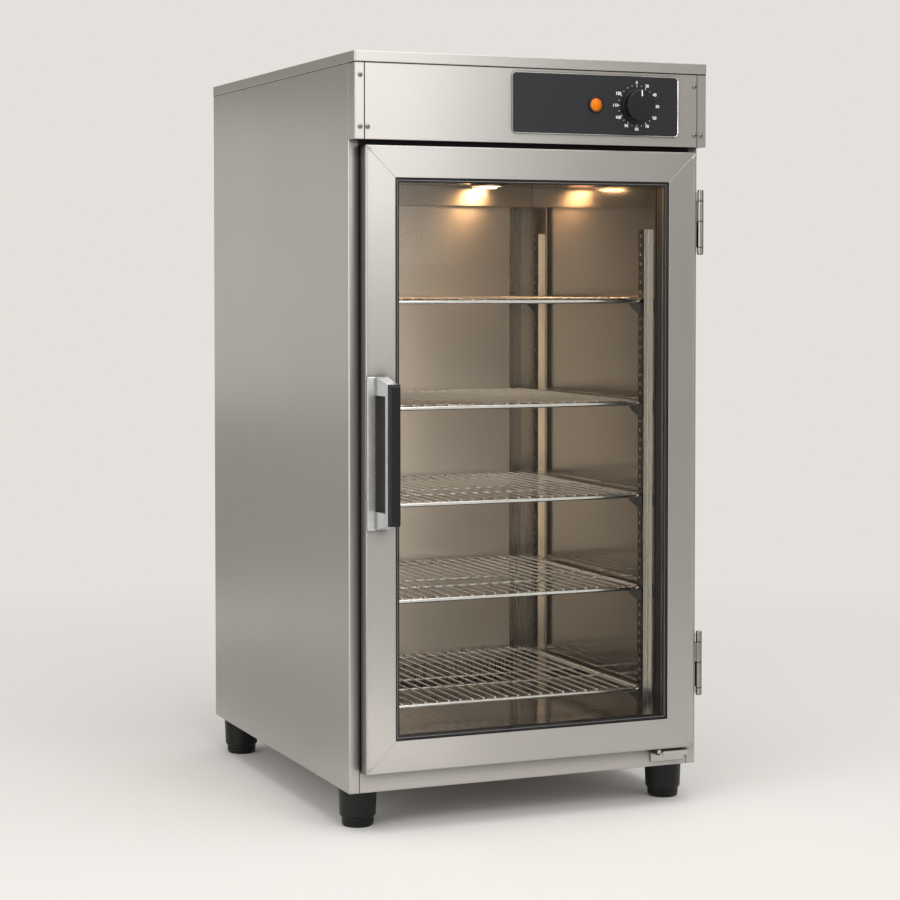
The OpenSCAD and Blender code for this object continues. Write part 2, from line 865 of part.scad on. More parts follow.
// Nylon gland that the supply lead passes through
module cable_gland()
    color("#2a2a2a")
        translate([gland_x, body_d, gland_z])
            rotate([-90, 0, 0])
                difference() {
                    union() {
                        cylinder(d = gland_d, h = 7, $fn = 6);
                        cylinder(d = 20, h = 14);
                        translate([0, 0, 8]) cylinder(d1 = 23, d2 = 17, h = gland_out - 8);
                        translate([0, 0, -12]) cylinder(d = 20, h = 12.1);
                        translate([0, 0, -skin_t - 5]) cylinder(d = gland_d, h = 5, $fn = 6);
                    }
                    translate([0, 0, -20]) cylinder(d = 8, h = 60);
                }

// ---- hinges -----------------------------------------------------------------

hinge_tops = [door_top - upper_hinge_in, door_z + lower_hinge_in];
knuckle_z1 = -cap_top_h - knuckle_gap;
knuckle_z0 = knuckle_z1 - door_knuckle_h;
frame_z1 = knuckle_z0 - knuckle_gap;
frame_z0 = frame_z1 - frame_knuckle_h;
cap_z1 = frame_z0 - knuckle_gap;
cap_z0 = cap_z1 - cap_low_h;

// Leaf on the cabinet's flange, its web and its knuckle
module hinge_frame_leaves()
    color("gainsboro")
        for (z = hinge_tops)
            translate([0, 0, z])
                difference() {
                    union() {
                        translate([hinge_x, hinge_y, frame_z0])
                            cylinder(d = barrel_d, h = frame_knuckle_h);
                        box([hinge_x - 1.5, hinge_y, frame_z0], [hinge_x + 1.5, -1, frame_z1]);
                        box([half_w - flange_w + 2, -2, cap_z0 + 4], [half_w - bend_r, 0, -4]);
                    }
                    translate([hinge_x, hinge_y, frame_z0 - 1])
                        cylinder(r = pin_d / 2 + run, h = frame_knuckle_h + 2);
                }

// Leaf on the door's edge and its knuckle
module hinge_door_leaves()
    color("gainsboro")
        for (z = hinge_tops)
            translate([0, 0, z])
                difference() {
                    union() {
                        translate([hinge_x, hinge_y, knuckle_z0])
                            cylinder(d = barrel_d, h = door_knuckle_h);
                        box([half_door, hinge_y - 1.5, knuckle_z0], [hinge_x, hinge_y + 1.5, knuckle_z1]);
                        box([half_door, hinge_y - 1.5, cap_z0 + 4], [half_door + 2, -3, -4]);
                    }
                    translate([hinge_x, hinge_y, knuckle_z0 - 1])
                        cylinder(r = pin_d / 2 + run, h = door_knuckle_h + 2);
                }

// Pins with their round-ended caps
module hinge_pins()
    color("gainsboro")
        for (z = hinge_tops)
            translate([hinge_x, hinge_y, z])
                rotate_extrude()
                    union() {
                        translate([0, cap_z0]) square([pin_d / 2, -cap_z0]);
                        translate([0, -cap_top_h]) square([barrel_r, cap_top_h - 2]);
                        translate([0, -2.1]) square([barrel_r - 2, 2.1]);
                        intersection() {
                            translate([barrel_r - 2, -2]) circle(2);
                            translate([0, -2.1]) square([barrel_r, 3]);
                        }
                        translate([0, cap_z0 + 2]) square([barrel_r, cap_low_h - 2]);
                        translate([0, cap_z0]) square([barrel_r - 2, 2.1]);
                        intersection() {
                            translate([barrel_r - 2, cap_z0 + 2]) circle(2);
                            translate([0, cap_z0 - 1]) square([barrel_r, 3.1]);
                        }
                    }

// ---- door -------------------------------------------------------------------

// Stiles and rails are folded skins, mitred at the corners and open at the back.
// Trapezium of a stile (or rail) of outer length from a0 to a1, seen from the front
module mitre(a0, a1, w) polygon([[0, a0], [w, a0 + w], [w, a1 - w], [0, a1]]);

// Skin: w is the face width, e the depth of the outer edge, f that of the inner edge
module folded_skin(a0, a1, mid) {
    t = door_skin;
    difference() {
        upright(-proud, -seal_t) mitre(a0, a1, stile_w);
        upright(-proud + t, 1)
            polygon([
                [t, a0 - 9], [stile_w - t, a0 - 9], [stile_w - t, a1 + 9], [t, a1 + 9]
            ]);
        // the inner edge is folded only as deep as the outer glass
        box([stile_w - t - 1, -proud + pane_in, a0], [stile_w + 1, 1, a1]);
    }
}

module door_stile(s)
    color("silver")
        side(s)
            translate([half_door, 0, 0])
                mirror([1, 0, 0]) folded_skin(door_z, door_top);

module door_stile_left() door_stile(-1);
module door_stile_right() door_stile(1);

// A rail is the same skin laid on its side
module door_rail(z, up)
    color("silver")
        translate([0, 0, z])
            scale([1, 1, up])
                mirror([1, 0, 0]) rotate([0, -90, 0]) folded_skin(-half_door, half_door);

module door_rail_top() door_rail(door_top, -1);
module door_rail_bottom() door_rail(door_z, 1);

pane_y0 = -proud + pane_in;
pane_y1 = plug_d - 4 - glass_t;
pane_edge = 4;
core_w = stile_w - door_skin - seat;

// Rectangle round the window, c wider at the sides and d at the top and bottom
module window_rect(c, d)
    translate([-half_win - c, win_z0 - d])
        square([2 * (half_win + c), win_z1 - win_z0 + 2 * d]);

// Ring round the window, between two such rectangles
module window_ring(c1, d1, c0, d0)
    difference() {
        window_rect(c1, d1);
        window_rect(c0, d0);
    }

module pane(y, c) upright(y - c, y + glass_t + c) window_rect(pane_edge + c, pane_edge + c);

// Black frame that fills the door, carries both panes and enters the cabinet
module glazing_frame()
    color("#202122")
        difference() {
            union() {
                upright(-proud + door_skin, -seal_t) window_ring(core_w, core_w, 0, 0);
                upright(-seal_t, plug_d) window_ring(plug_w, plug_v, 0, 0);
            }
            pane(pane_y0, seat / 2);
            pane(pane_y1, seat / 2);
            // the skins' inner edges are folded in front of the outer pane
            upright(-proud, pane_y0)
                window_ring(door_skin + seat, door_skin + seat, -1, -1);
            // groove that the spacer between the panes lies in
            upright(pane_y0 + glass_t + 3, pane_y0 + glass_t + 14) window_ring(2, 2, -1, -1);
        }

module glass_outer() color("lightcyan", 0.3) pane(pane_y0, 0);
module glass_inner() color("lightcyan", 0.3) pane(pane_y1, 0);

// Rubber seal on the back of the door, pressed on the face frame when shut
module door_seal() {
    c = stile_w - seal_in;
    w = seal_w;
    color("#161616")
        difference() {
            upright(-seal_t, -seat) window_ring(c, c, c - w, c - w);
            upright(-seat - 1, 0) window_ring(c - 4, c - 4, c - w + 4, c - w + 4);
        }
}

// ---- handle -----------------------------------------------------------------

handle_x = -half_door + 1.3;
grip_x1 = handle_x + handle_w;
grip_x0 = grip_x1 - grip_w;
bow_y = -proud - handle_reach + grip_t;
end_in = 10;
arm_x0 = handle_x + 13;
plate_y = -proud - 3;

// Cast body: foot plate, two tapering arms and the bar behind the grip
module handle_body()
    color("lightgray") {
        upright(plate_y, -proud)
            round_rect([handle_x, handle_z], [grip_x1, handle_z + handle_h], 2);
        intersection() {
            translate([0, 0, handle_z])
                linear_extrude(handle_h)
                    polygon([
                        [arm_x0, plate_y + 1], [grip_x1, plate_y + 1],
                        [grip_x1, bow_y], [grip_x0, bow_y]
                    ]);
            along_x(handle_x, grip_x1)
                difference() {
                    polygon([
                        [plate_y + 1, handle_z], [plate_y + 1, handle_z + handle_h],
                        [bow_y, handle_z + handle_h - end_in], [bow_y, handle_z + end_in]
                    ]);
                    translate([bow_y + 8, handle_z + arm_h])
                        square([plate_y - bow_y, handle_h - 2 * arm_h]);
                }
        }
    }

// Dark lining between the arms, behind the fingers
module handle_backplate()
    color("#26241f")
        box([arm_x0, plate_y - 1.5, handle_z + arm_h + seat],
            [grip_x1, plate_y, handle_z + handle_h - arm_h - seat]);

// Black grip with rounded edges and ends
module handle_grip()
    color("#25292b")
        intersection() {
            translate([0, 0, handle_z])
                linear_extrude(handle_h)
                    round_rect([grip_x0, bow_y - grip_t], [grip_x1, bow_y + 6], 3);
            along_x(grip_x0 - 1, grip_x1 + 1)
                intersection() {
                    round_rect(
                        [bow_y - grip_t, handle_z + end_in],
                        [bow_y + 12, handle_z + handle_h - end_in],
                        5
                    );
                    translate([bow_y - grip_t, handle_z]) square([grip_t, handle_h]);
                }
        }

// ---- knob -------------------------------------------------------------------

knob_y = -proud - plate_t - 0.8;

// Fluted knob with a skirt, a shallow pointer groove and a bore for the spindle
module knob()
    color("#1a1a1a")
        translate([knob_x, knob_y, control_z])
            rotate([90, 0, 0])
                difference() {
                    rotate_extrude()
                        difference() {
                            union() {
                                square([knob_d / 2, 3]);
                                square([knob_d / 2 - 1.5, knob_h - 1.5]);
                                square([knob_d / 2 - 3, knob_h]);
                                translate([knob_d / 2 - 3, knob_h - 1.5]) circle(1.5);
                            }
                            translate([-9, -1]) square([9 + 12, 5]);
                            translate([-9, -9]) square([9, 50]);
                        }
                    for (i = [0 : 35])
                        rotate([0, 0, i * 10 + 5])
                            translate([knob_d / 2 - 0.5, 0, 4]) cylinder(r = 1.4, h = knob_h);
                    translate([-1.1, knob_d / 2 - 12, knob_h - 0.6]) cube([2.2, 9.6, 1]);
                    translate([0, 0, -1]) cylinder(d = spindle_d, h = 12 + 1);
                }

// Spindle from the thermostat into the knob
module knob_spindle()
    color("lightgray")
        rod_y(knob_x, control_z, spindle_d, knob_y - 12, -proud + 26);

// ---- door rest --------------------------------------------------------------

rest_x1 = half_w - rest_in;
rest_x0 = rest_x1 - rest_w;
roller_y0 = -rest_out + 4;

// Folded tab with a turned-down lip, and the roller's pin on its ear
module rest_bracket()
    color("gainsboro") {
        box([roller_x - roller_d / 2, -2, 8], [rest_x1, 0, roller_z + 3]);
        box([rest_x0, -rest_out, roller_z - 2], [rest_x1, -1, roller_z]);
        box([rest_x0, -rest_out, roller_z - 8], [rest_x1, -rest_out + 2, roller_z]);
        rod_y(roller_x, roller_z, 4, roller_y0 - 2, -1);
        rod_y(roller_x, roller_z, 7, roller_y0 - 3.5, roller_y0 - 1.5);
    }

module rest_roller()
    color("#3a3a3c")
        difference() {
            rod_y(roller_x, roller_z, roller_d, roller_y0 - 1.2, -2.3);
            rod_y(roller_x, roller_z, 4 + 2 * run, roller_y0 - 4, 0);
        }

// ---- feet -------------------------------------------------------------------

// Places its children on the axis of the foot at the side sx and the end sy
module at_foot(sx, sy)
    translate([sx * (half_w - foot_in_x), sy < 0 ? foot_in_y : body_d - foot_in_y, 0])
        children();

// Round sleeve, slightly tapered, with a blind bore for the adjuster's stem
module foot_sleeves()
    color("#1f1f1f")
        for (sx = [-1, 1])
            for (sy = [-1, 1])
                at_foot(sx, sy)
                    difference() {
                        rotate_extrude()
                            polygon([
                                [0, 0], [foot_d / 2, 0], [foot_d / 2, -6],
                                [foot_d / 2 - 1.5, 3 - sleeve_h], [foot_d / 2 - 4, -sleeve_h],
                                [0, -sleeve_h]
                            ]);
                        translate([0, 0, -sleeve_h - 1])
                            cylinder(r = stem_d / 2 + run, h = stem_h + 2);
                    }

// Screw-in adjuster with a grooved, chamfered disc that stands on the floor
module foot_adjuster(sx, sy)
    color("#242424")
        at_foot(sx, sy)
            translate([0, 0, -foot_h]) {
                rotate_extrude()
                    polygon([
                        [0, 0], [adjuster_d / 2 - 3, 0], [adjuster_d / 2 - 0.8, 2.5],
                        [adjuster_d / 2, adjuster_h - 5], [adjuster_d / 2 - 1, adjuster_h - 4.4],
                        [adjuster_d / 2, adjuster_h - 3.8], [adjuster_d / 2, adjuster_h],
                        [0, adjuster_h]
                    ]);
                cylinder(d = stem_d, h = adjuster_h + stem_h);
            }

module foot_adjuster_fl() foot_adjuster(-1, -1);
module foot_adjuster_fr() foot_adjuster(1, -1);
module foot_adjuster_rl() foot_adjuster(-1, 1);
module foot_adjuster_rr() foot_adjuster(1, 1);

// ---- nodes ------------------------------------------------------------------

place() {
    side_panel_left();
    side_panel_right();
    back_panel();
    base_pan();
    lid();
    header_fascia();
    header_end_left();
    header_end_right();
    bottom_rail();
    front_frame();
    liner_left();
    liner_right();
    liner_back();
    liner_ceiling();
    liner_floor();
    back_baffle();
    air_duct();
    insulation_slabs();
    pilasters_front();
    pilasters_rear();
    shelf_clips();
    shelf_1();
    shelf_2();
    shelf_3();
    shelf_4();
    shelf_5();
    control_plate();
    indicator_bezel();
    indicator_lens();
    thermostat();
    ceiling_lamp_rings();
    ceiling_lamp_lenses();
    heater_element();
    fan_motor();
    cable_gland();
    hinge_frame_leaves();
    hinge_pins();
    header_screws();
    rest_bracket();
    foot_sleeves();
    door_stile_left();
    door_stile_right();
    door_rail_top();
    door_rail_bottom();
    glazing_frame();
    glass_outer();
    glass_inner();
    door_seal();
    hinge_door_leaves();
    handle_body();
    handle_backplate();
    handle_grip();
    knob();
    knob_spindle();
    fan_wheel();
    rest_roller();
    foot_adjuster_fl();
    foot_adjuster_fr();
    foot_adjuster_rl();
    foot_adjuster_rr();
}
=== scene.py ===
"""Plate warmer cabinet: finishes, small trims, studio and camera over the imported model."""
import math

import bmesh
import bpy
from mathutils import Euler, Matrix, Vector


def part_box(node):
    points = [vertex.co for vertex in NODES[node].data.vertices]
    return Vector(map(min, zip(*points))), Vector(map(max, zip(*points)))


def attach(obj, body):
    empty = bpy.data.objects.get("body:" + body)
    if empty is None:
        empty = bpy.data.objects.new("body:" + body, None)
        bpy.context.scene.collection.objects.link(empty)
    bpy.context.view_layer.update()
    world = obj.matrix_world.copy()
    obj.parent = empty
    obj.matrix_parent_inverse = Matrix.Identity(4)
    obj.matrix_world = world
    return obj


bl_info = {
    "name": "Plate warmer cabinet",
    "version": (1, 0, 0),
    "blender": (4, 5, 0),
    "location": "3D View > Sidebar > Plate warmer",
    "description": "Dresses the packed plate warmer cabinet and sets up its studio",
    "category": "Object",
}

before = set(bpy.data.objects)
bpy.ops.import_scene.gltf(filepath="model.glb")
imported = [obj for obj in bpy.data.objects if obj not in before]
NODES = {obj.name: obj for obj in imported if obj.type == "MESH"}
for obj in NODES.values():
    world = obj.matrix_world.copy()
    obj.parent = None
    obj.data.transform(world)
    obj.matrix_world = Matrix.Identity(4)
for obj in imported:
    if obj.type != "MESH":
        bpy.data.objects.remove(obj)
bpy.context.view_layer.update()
MM = 0.001

# Lengths of the sheets' marks in millimetres along X, Y and Z: scratches of the belt that
# brushed the outside, and rolling marks in the chamber. They run up the sheet or level.
BELT_UP = (1.3, 1.3, 150)
BELT_LEVEL = (150, 1.3, 1.3)
ROLL_UP = (2.5, 2.5, 300)
ROLL_LEVEL = (300, 2.5, 2.5)

# Camera fitted to the cabinet's edges in the photograph: metres, degrees and millimetres.
CAMERA_PLACE = (-1.485, -3.53525, 0.841)
CAMERA_DOWN = 2.05
CAMERA_RIGHT = 22.79
CAMERA_LENS = 91.28
CAMERA_SHIFT = -0.10


def linear(code):
    """An sRGB hex code as linear red, green, blue and alpha."""
    parts = [int(code[i:i + 2], 16) / 255 for i in (1, 3, 5)]
    return [c / 12.92 if c <= 0.04045 else ((c + 0.055) / 1.055) ** 2.4 for c in parts] + [1.0]


def middle(node):
    """Middle of a CAD node's box."""
    low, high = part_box(node)
    return (Vector(low) + Vector(high)) / 2


# ---- settings -----------------------------------------------------------------


def colour_property(name, description, code):
    """A colour setting whose default is an sRGB hex code."""
    return bpy.props.FloatVectorProperty(
        name=name, description=description, subtype="COLOR", size=3, min=0, max=1,
        default=linear(code)[:3],
    )


class PLATEWARMER_PG_finishes(bpy.types.PropertyGroup):
    steel: colour_property("Outer steel", "Tone of the brushed sheet outside", "#B9B6B3")
    liner: colour_property("Chamber steel", "Tone of the bright sheet of the chamber", "#B9B0A4")
    wire: colour_property("Shelf wire", "Tone of the plated shelf wire", "#E6E4E1")
    plate: colour_property("Control plate", "Ink on the control plate", "#1C1D21")
    marks: colour_property("Dial marks", "Printed marks and the knob's pointer", "#EDECE8")
    lens: colour_property("Indicator lens", "Moulded lens of the indicator", "#E8720A")
    grip: colour_property("Grip", "Moulded plastic of the handle's grip", "#0A0D0F")
    foot: colour_property("Feet", "Moulded plastic of the feet", "#0B0B0B")
    steel_roughness: bpy.props.FloatProperty(
        name="Steel roughness", description="Blur of the outer steel's reflections",
        default=0.3, min=0.1, max=0.6, subtype="FACTOR",
    )
    glass_ior: bpy.props.FloatProperty(
        name="Glass IOR", description="Index of the coated panes, which reflect little",
        default=1.14, min=1.0, max=1.6,
    )


class PLATEWARMER_PG_trims(bpy.types.PropertyGroup):
    tick_inner: bpy.props.FloatProperty(
        name="Inner end of ticks", description="Distance of the dial's ticks from the knob's axis",
        default=29.5 * MM, unit="LENGTH",
    )
    tick_length: bpy.props.FloatProperty(
        name="Tick length", description="Length of the dial's long ticks",
        default=3.2 * MM, unit="LENGTH",
    )
    numeral_radius: bpy.props.FloatProperty(
        name="Numeral radius", description="Distance of the numerals from the knob's axis",
        default=36.3 * MM, unit="LENGTH",
    )
    numeral_height: bpy.props.FloatProperty(
        name="Numeral height", description="Height of the dial's numerals",
        default=4.6 * MM, unit="LENGTH",
    )
    bead: bpy.props.FloatProperty(
        name="Glazing bead", description="Thickness of the rubber bead in front of the outer pane",
        default=2.8 * MM, unit="LENGTH",
    )


class PLATEWARMER_PG_studio(bpy.types.PropertyGroup):
    paper: colour_property("Paper", "Background and floor paper", "#E4E1DC")
    room: bpy.props.FloatProperty(
        name="Room light", description="Strength of the even light from all sides",
        default=0.66, min=0, max=2,
    )
    front_box: bpy.props.FloatProperty(
        name="Front softbox", description="Power of the softbox above the camera",
        default=20.0, min=0, unit="POWER",
    )
    strip_box: bpy.props.FloatProperty(
        name="Header strip", description="Power of the softbox that the header's left end mirrors",
        default=4.0, min=0, unit="POWER",
    )
    top_box: bpy.props.FloatProperty(
        name="Top softbox", description="Power of the softbox overhead",
        default=34.0, min=0, unit="POWER",
    )
    left_box: bpy.props.FloatProperty(
        name="Left softbox", description="Power of the softbox on the left, which edges mirror",
        default=34.0, min=0, unit="POWER",
    )
    bounce: bpy.props.FloatProperty(
        name="Chamber bounce", description="Power of the even light between the bright walls",
        default=0.36, min=0, unit="POWER",
    )
    chamber_lamp: bpy.props.FloatProperty(
        name="Chamber lamp", description="Power of each lit lamp in the chamber's ceiling",
        default=0.42, min=0, unit="POWER",
    )


# ---- materials ----------------------------------------------------------------


def add(tree, kind, inputs=None, **settings):
    """Adds a node, sets its fields, and sets or links its inputs."""
    made = tree.nodes.new(kind)
    for name, value in settings.items():
        setattr(made, name, value)
    for name, value in (inputs or {}).items():
        if isinstance(value, bpy.types.NodeSocket):
            tree.links.new(value, made.inputs[name])
        else:
            made.inputs[name].default_value = value
    return made


def start(name):
    """A material with an empty node tree, and the place of each point on the piece."""
    material = bpy.data.materials.new(name)
    material.use_nodes = True
    material.node_tree.nodes.clear()
    place = add(material.node_tree, "ShaderNodeTexCoord").outputs["Object"]
    return material, material.node_tree, place


def grain(tree, place, sizes, detail=3.0, roughness=0.55):
    """Noise whose features have the given sizes in millimetres along X, Y and Z."""
    scale = [1000 / size for size in sizes]
    mapped = add(tree, "ShaderNodeMapping", {"Vector": place, "Scale": scale})
    return add(tree, "ShaderNodeTexNoise", {
        "Vector": mapped.outputs[0], "Scale": 1.0, "Detail": detail, "Roughness": roughness,
    }).outputs["Fac"]


def span(tree, value, low, high, start_at=0.3, end_at=0.7):
    """A pattern's usual reach stretched to the values from low to high."""
    return add(tree, "ShaderNodeMapRange", {
        "Value": value, "From Min": start_at, "From Max": end_at, "To Min": low, "To Max": high,
    }).outputs[0]


def tones(tree, factor, dark, light):
    """Colour between two tones, by a factor."""
    return add(
        tree, "ShaderNodeMix", {"Factor": factor, 6: dark, 7: light}, data_type="RGBA"
    ).outputs[2]


def scaled(colour, by):
    """A colour made lighter or darker."""
    return [min(1.0, c * by) for c in colour[:3]] + [1.0]


def relief(tree, height, strength, depth, edge=None):
    """Normal of a surface with a pattern's relief, on an edge rounded by some millimetres."""
    inputs = {"Height": height, "Strength": strength, "Distance": depth * MM}
    if edge:
        radius = edge if isinstance(edge, bpy.types.NodeSocket) else edge * MM
        inputs["Normal"] = add(tree, "ShaderNodeBevel", {"Radius": radius}, samples=6).outputs[0]
    return add(tree, "ShaderNodeBump", inputs).outputs[0]


def shaded_joints(tree, colour, reach, darkest=0.1):
    """Painted shade: darker tone in joints and inner corners, within some millimetres of the next
    piece.
    """
    near = add(
        tree, "ShaderNodeAmbientOcclusion", {"Distance": reach * MM}, samples=12
    ).outputs["AO"]
    return dimmed(tree, colour, add(tree, "ShaderNodeMapRange", {
        "Value": near, "From Min": 0.42, "From Max": 0.95, "To Min": darkest, "To Max": 1.0,
    }).outputs[0])


def drawn_joints(tree, place, colour, joints):
    """Dark lines for closed joints, and painted shadow lines under lips: (axis, distance from the
    middle, half width) in mm.
    """
    parts = add(tree, "ShaderNodeSeparateXYZ", {"Vector": place}).outputs
    for axis, at, half in joints:
        side = add(tree, "ShaderNodeMath", {0: parts[axis]}, operation="ABSOLUTE").outputs[0]
        off = add(
            tree, "ShaderNodeMath", {0: side, 1: at * MM}, operation="SUBTRACT"
        ).outputs[0]
        away = add(tree, "ShaderNodeMath", {0: off}, operation="ABSOLUTE").outputs[0]
        colour = dimmed(tree, colour, add(tree, "ShaderNodeMapRange", {
            "Value": away, "From Min": half * 0.6 * MM, "From Max": half * MM,
            "To Min": 0.1, "To Max": 1.0,
        }).outputs[0])
    return colour


def dimmed(tree, colour, shade):
    """A colour multiplied by a shade."""
    return add(
        tree, "ShaderNodeMix", {"Factor": 1.0, 6: colour, 7: shade},
        data_type="RGBA", blend_type="MULTIPLY",
    ).outputs[2]


def surface(tree, inputs):
    """Principled surface joined to the material's output."""
    shader = add(tree, "ShaderNodeBsdfPrincipled", inputs)
    add(tree, "ShaderNodeOutputMaterial", {"Surface": shader.outputs[0]})
    return shader


def hem_radius(tree, place, hem):
    """Edge radius of a sheet: larger on the folds round its outer edge than inside them.

    The hem is the height of the sheet's middle, and how far left and right of it and above
    and below it the folds start, in millimetres.
    """
    middle_z, half_x, half_z = (value * MM for value in hem)
    parts = add(tree, "ShaderNodeSeparateXYZ", {"Vector": place}).outputs
    past = []
    for axis, centre, reach in (("X", 0.0, half_x), ("Z", middle_z, half_z)):
        off = add(
            tree, "ShaderNodeMath", {0: parts[axis], 1: centre}, operation="SUBTRACT"
        ).outputs[0]
        away = add(tree, "ShaderNodeMath", {0: off}, operation="ABSOLUTE").outputs[0]
        past.append(add(
            tree, "ShaderNodeMath", {0: away, 1: reach}, operation="GREATER_THAN"
        ).outputs[0])
    outer = add(
        tree, "ShaderNodeMath", {0: past[0], 1: past[1]}, operation="MAXIMUM"
    ).outputs[0]
    return span(tree, outer, 0.9 * MM, 4.4 * MM, 0.0, 1.0)


def brushed_sheet(name, colour, rough, scratch, edge=2.2, stretch=0.0, joints=30.0, drawn=(),
                  relief_depth=0.05, hem=None):
    """Stainless sheet rubbed with an abrasive belt: long fine scratches blur what it mirrors.

    Real scratches are about 0.05 mm wide. They are drawn coarser, so that they show. Stretch
    draws highlights out along the upright. Joints is the reach of the painted shade in joints
    and inner corners.
    """
    material, tree, place = start(name)
    lines = grain(tree, place, scratch, detail=4.0, roughness=0.7)
    patches = grain(tree, place, (220, 220, 220), detail=1.5)
    tone = tones(tree, span(tree, lines, 0.0, 1.0), scaled(colour, 0.965), scaled(colour, 1.03))
    # Painted shade within the joints' reach of the next piece.
    if joints:
        tone = shaded_joints(tree, tone, joints)
    # Drawn dark lines for closed joints, and painted shadow lines where these are given.
    tone = drawn_joints(tree, place, tone, drawn)
    blur = add(tree, "ShaderNodeMath", {
        0: span(tree, lines, -0.02, 0.025), 1: span(tree, patches, rough - 0.015, rough + 0.02),
    }, operation="ADD").outputs[0]
    if hem:
        edge = hem_radius(tree, place, hem)
    upright = add(tree, "ShaderNodeCombineXYZ", {"Z": 1.0}).outputs[0]
    surface(tree, {
        "Base Color": tone, "Metallic": 1.0, "Roughness": blur, "Anisotropic": stretch,
        "Tangent": upright, "Normal": relief(tree, lines, 0.05, relief_depth, edge),
    })
    return material


def moulded(name, colour, rough, grit, depth=0.05, edge=0.5, ior=1.46):
    """Moulded plastic or rubber with the fine spark texture of its mould."""
    material, tree, place = start(name)
    pits = grain(tree, place, (grit, grit, grit), detail=2.0)
    haze = grain(tree, place, (45, 45, 45), detail=3.0)
    tone = tones(tree, span(tree, haze, 0.0, 1.0), scaled(colour, 0.85), scaled(colour, 1.2))
    surface(tree, {
        "Base Color": tone, "Roughness": span(tree, haze, rough - 0.04, rough + 0.06),
        "IOR": ior, "Normal": relief(tree, pits, 0.35, depth, edge),
    })
    return material


def plated(name, colour, rough, mottle=6.0, edge=0.3, joints=0.0, drawn=()):
    """Bright plated or polished metal with slight unevenness under the plating."""
    material, tree, place = start(name)
    waves = grain(tree, place, (mottle, mottle, mottle), detail=2.0)
    dust = grain(tree, place, (0.8, 0.8, 0.8), detail=3.0)
    tone = tones(tree, span(tree, waves, 0.0, 1.0), scaled(colour, 0.9), scaled(colour, 1.05))
    # Painted shade within the joints' reach of the next piece.
    if joints:
        tone = shaded_joints(tree, tone, joints)
    tone = drawn_joints(tree, place, tone, drawn)
    surface(tree, {
        "Base Color": tone, "Metallic": 1.0,
        "Roughness": span(tree, dust, rough - 0.03, rough + 0.06),
        "Normal": relief(tree, waves, 0.12, 0.25, edge),
    })
    return material


def painted(name, colour, rough, peel=2.5, edge=0.6):
    """Sprayed or powder-coated metal with a faint orange-peel skin."""
    material, tree, place = start(name)
    skin = grain(tree, place, (peel, peel, peel), detail=1.0)
    worn = grain(tree, place, (70, 70, 70), detail=4.0)
    tone = tones(tree, span(tree, worn, 0.0, 1.0), scaled(colour, 0.9), scaled(colour, 1.12))
    surface(tree, {
        "Base Color": tone, "Roughness": span(tree, worn, rough - 0.04, rough + 0.05),
        "Normal": relief(tree, skin, 0.1, 0.15, edge),
    })
    return material


def printed_plate(name, colour):
    """Aluminium plate with a satin printed face: almost black, with a very fine sparkle."""
    material, tree, place = start(name)
    sparkle = grain(tree, place, (0.9, 0.9, 0.9), detail=2.0)
    haze = grain(tree, place, (60, 60, 60), detail=3.0)
    tone = tones(tree, span(tree, sparkle, 0.0, 1.0), scaled(colour, 0.86), scaled(colour, 1.2))
    surface(tree, {
        "Base Color": tone, "Roughness": span(tree, haze, 0.38, 0.48), "IOR": 1.42,
        "Normal": relief(tree, sparkle, 0.15, 0.04, 0.5),
    })
    return material


def lens_material(name, colour):
    """Clear orange acrylic, pebbled inside so that it spreads the lamp behind it."""
    material, tree, place = start(name)
    pebbles = add(tree, "ShaderNodeTexVoronoi", {"Vector": place, "Scale": 1000 / 2.6})
    # Painted highlight: the middle of the dome, which faces the view, is painted lighter and its
    # edge darker.
    rim = add(tree, "ShaderNodeLayerWeight", {"Blend": 0.4}).outputs["Facing"]
    body = tones(
        tree, span(tree, rim, 0.0, 1.0, 0.0, 0.4), linear("#E9860C"), scaled(colour, 0.7)
    )
    glow = tones(
        tree, span(tree, pebbles.outputs["Distance"], 0.0, 0.35, 0.0, 0.75),
        body, linear("#C25A05"),
    )
    surface(tree, {
        "Base Color": glow, "Roughness": 0.16, "IOR": 1.3, "Transmission Weight": 0.15,
        "Emission Color": glow, "Emission Strength": 0.16,
        "Normal": relief(tree, pebbles.outputs["Distance"], 0.3, 0.4),
    })
    return material


def rack_steel(name, colour, side_shade):
    """Rolled rack steel: a light tone on the faces towards the door as painted light, a dark tone
    on the slotted side faces as painted shade.
    """
    material, tree, place = start(name)
    lines = grain(tree, place, (2.5, 2.5, 200), detail=3.0)
    # Painted shade: faces turned sideways, into the slotted channel, get the dark side tone.
    facing = add(tree, "ShaderNodeNewGeometry").outputs["True Normal"]
    across = add(tree, "ShaderNodeSeparateXYZ", {"Vector": facing}).outputs["X"]
    slotted = add(tree, "ShaderNodeMath", {0: across}, operation="ABSOLUTE").outputs[0]
    tone = tones(tree, span(tree, slotted, 0.0, 1.0, 0.4, 0.8), colour, side_shade)
    tone = dimmed(tree, tone, span(tree, lines, 0.97, 1.0))
    surface(tree, {
        "Base Color": tone, "Metallic": 1.0, "Roughness": span(tree, lines, 0.19, 0.21),
        "Normal": relief(tree, lines, 0.02, 0.01, 1.3),
    })
    return material


def lamp_glass(name, colour):
    """Frosted lamp glass. The rear pair is lit, the front pair is switched off."""
    material, tree, place = start(name)
    frost = grain(tree, place, (1.5, 1.5, 1.5), detail=2.0)
    glass = tones(tree, span(tree, frost, 0.0, 1.0), linear("#8C857B"), linear("#A29B90"))
    depth = add(tree, "ShaderNodeSeparateXYZ", {"Vector": place}).outputs["Y"]
    lit = span(tree, depth, 0.0, 1.0, -0.01, 0.01)
    glow = tones(tree, lit, linear("#000000"), colour)
    surface(tree, {
        "Base Color": glass, "Roughness": 0.45, "IOR": 1.5, "Transmission Weight": 0.2,
        "Emission Color": glow, "Emission Strength": 3.0,
        "Normal": relief(tree, frost, 0.3, 0.1),
    })
    return material


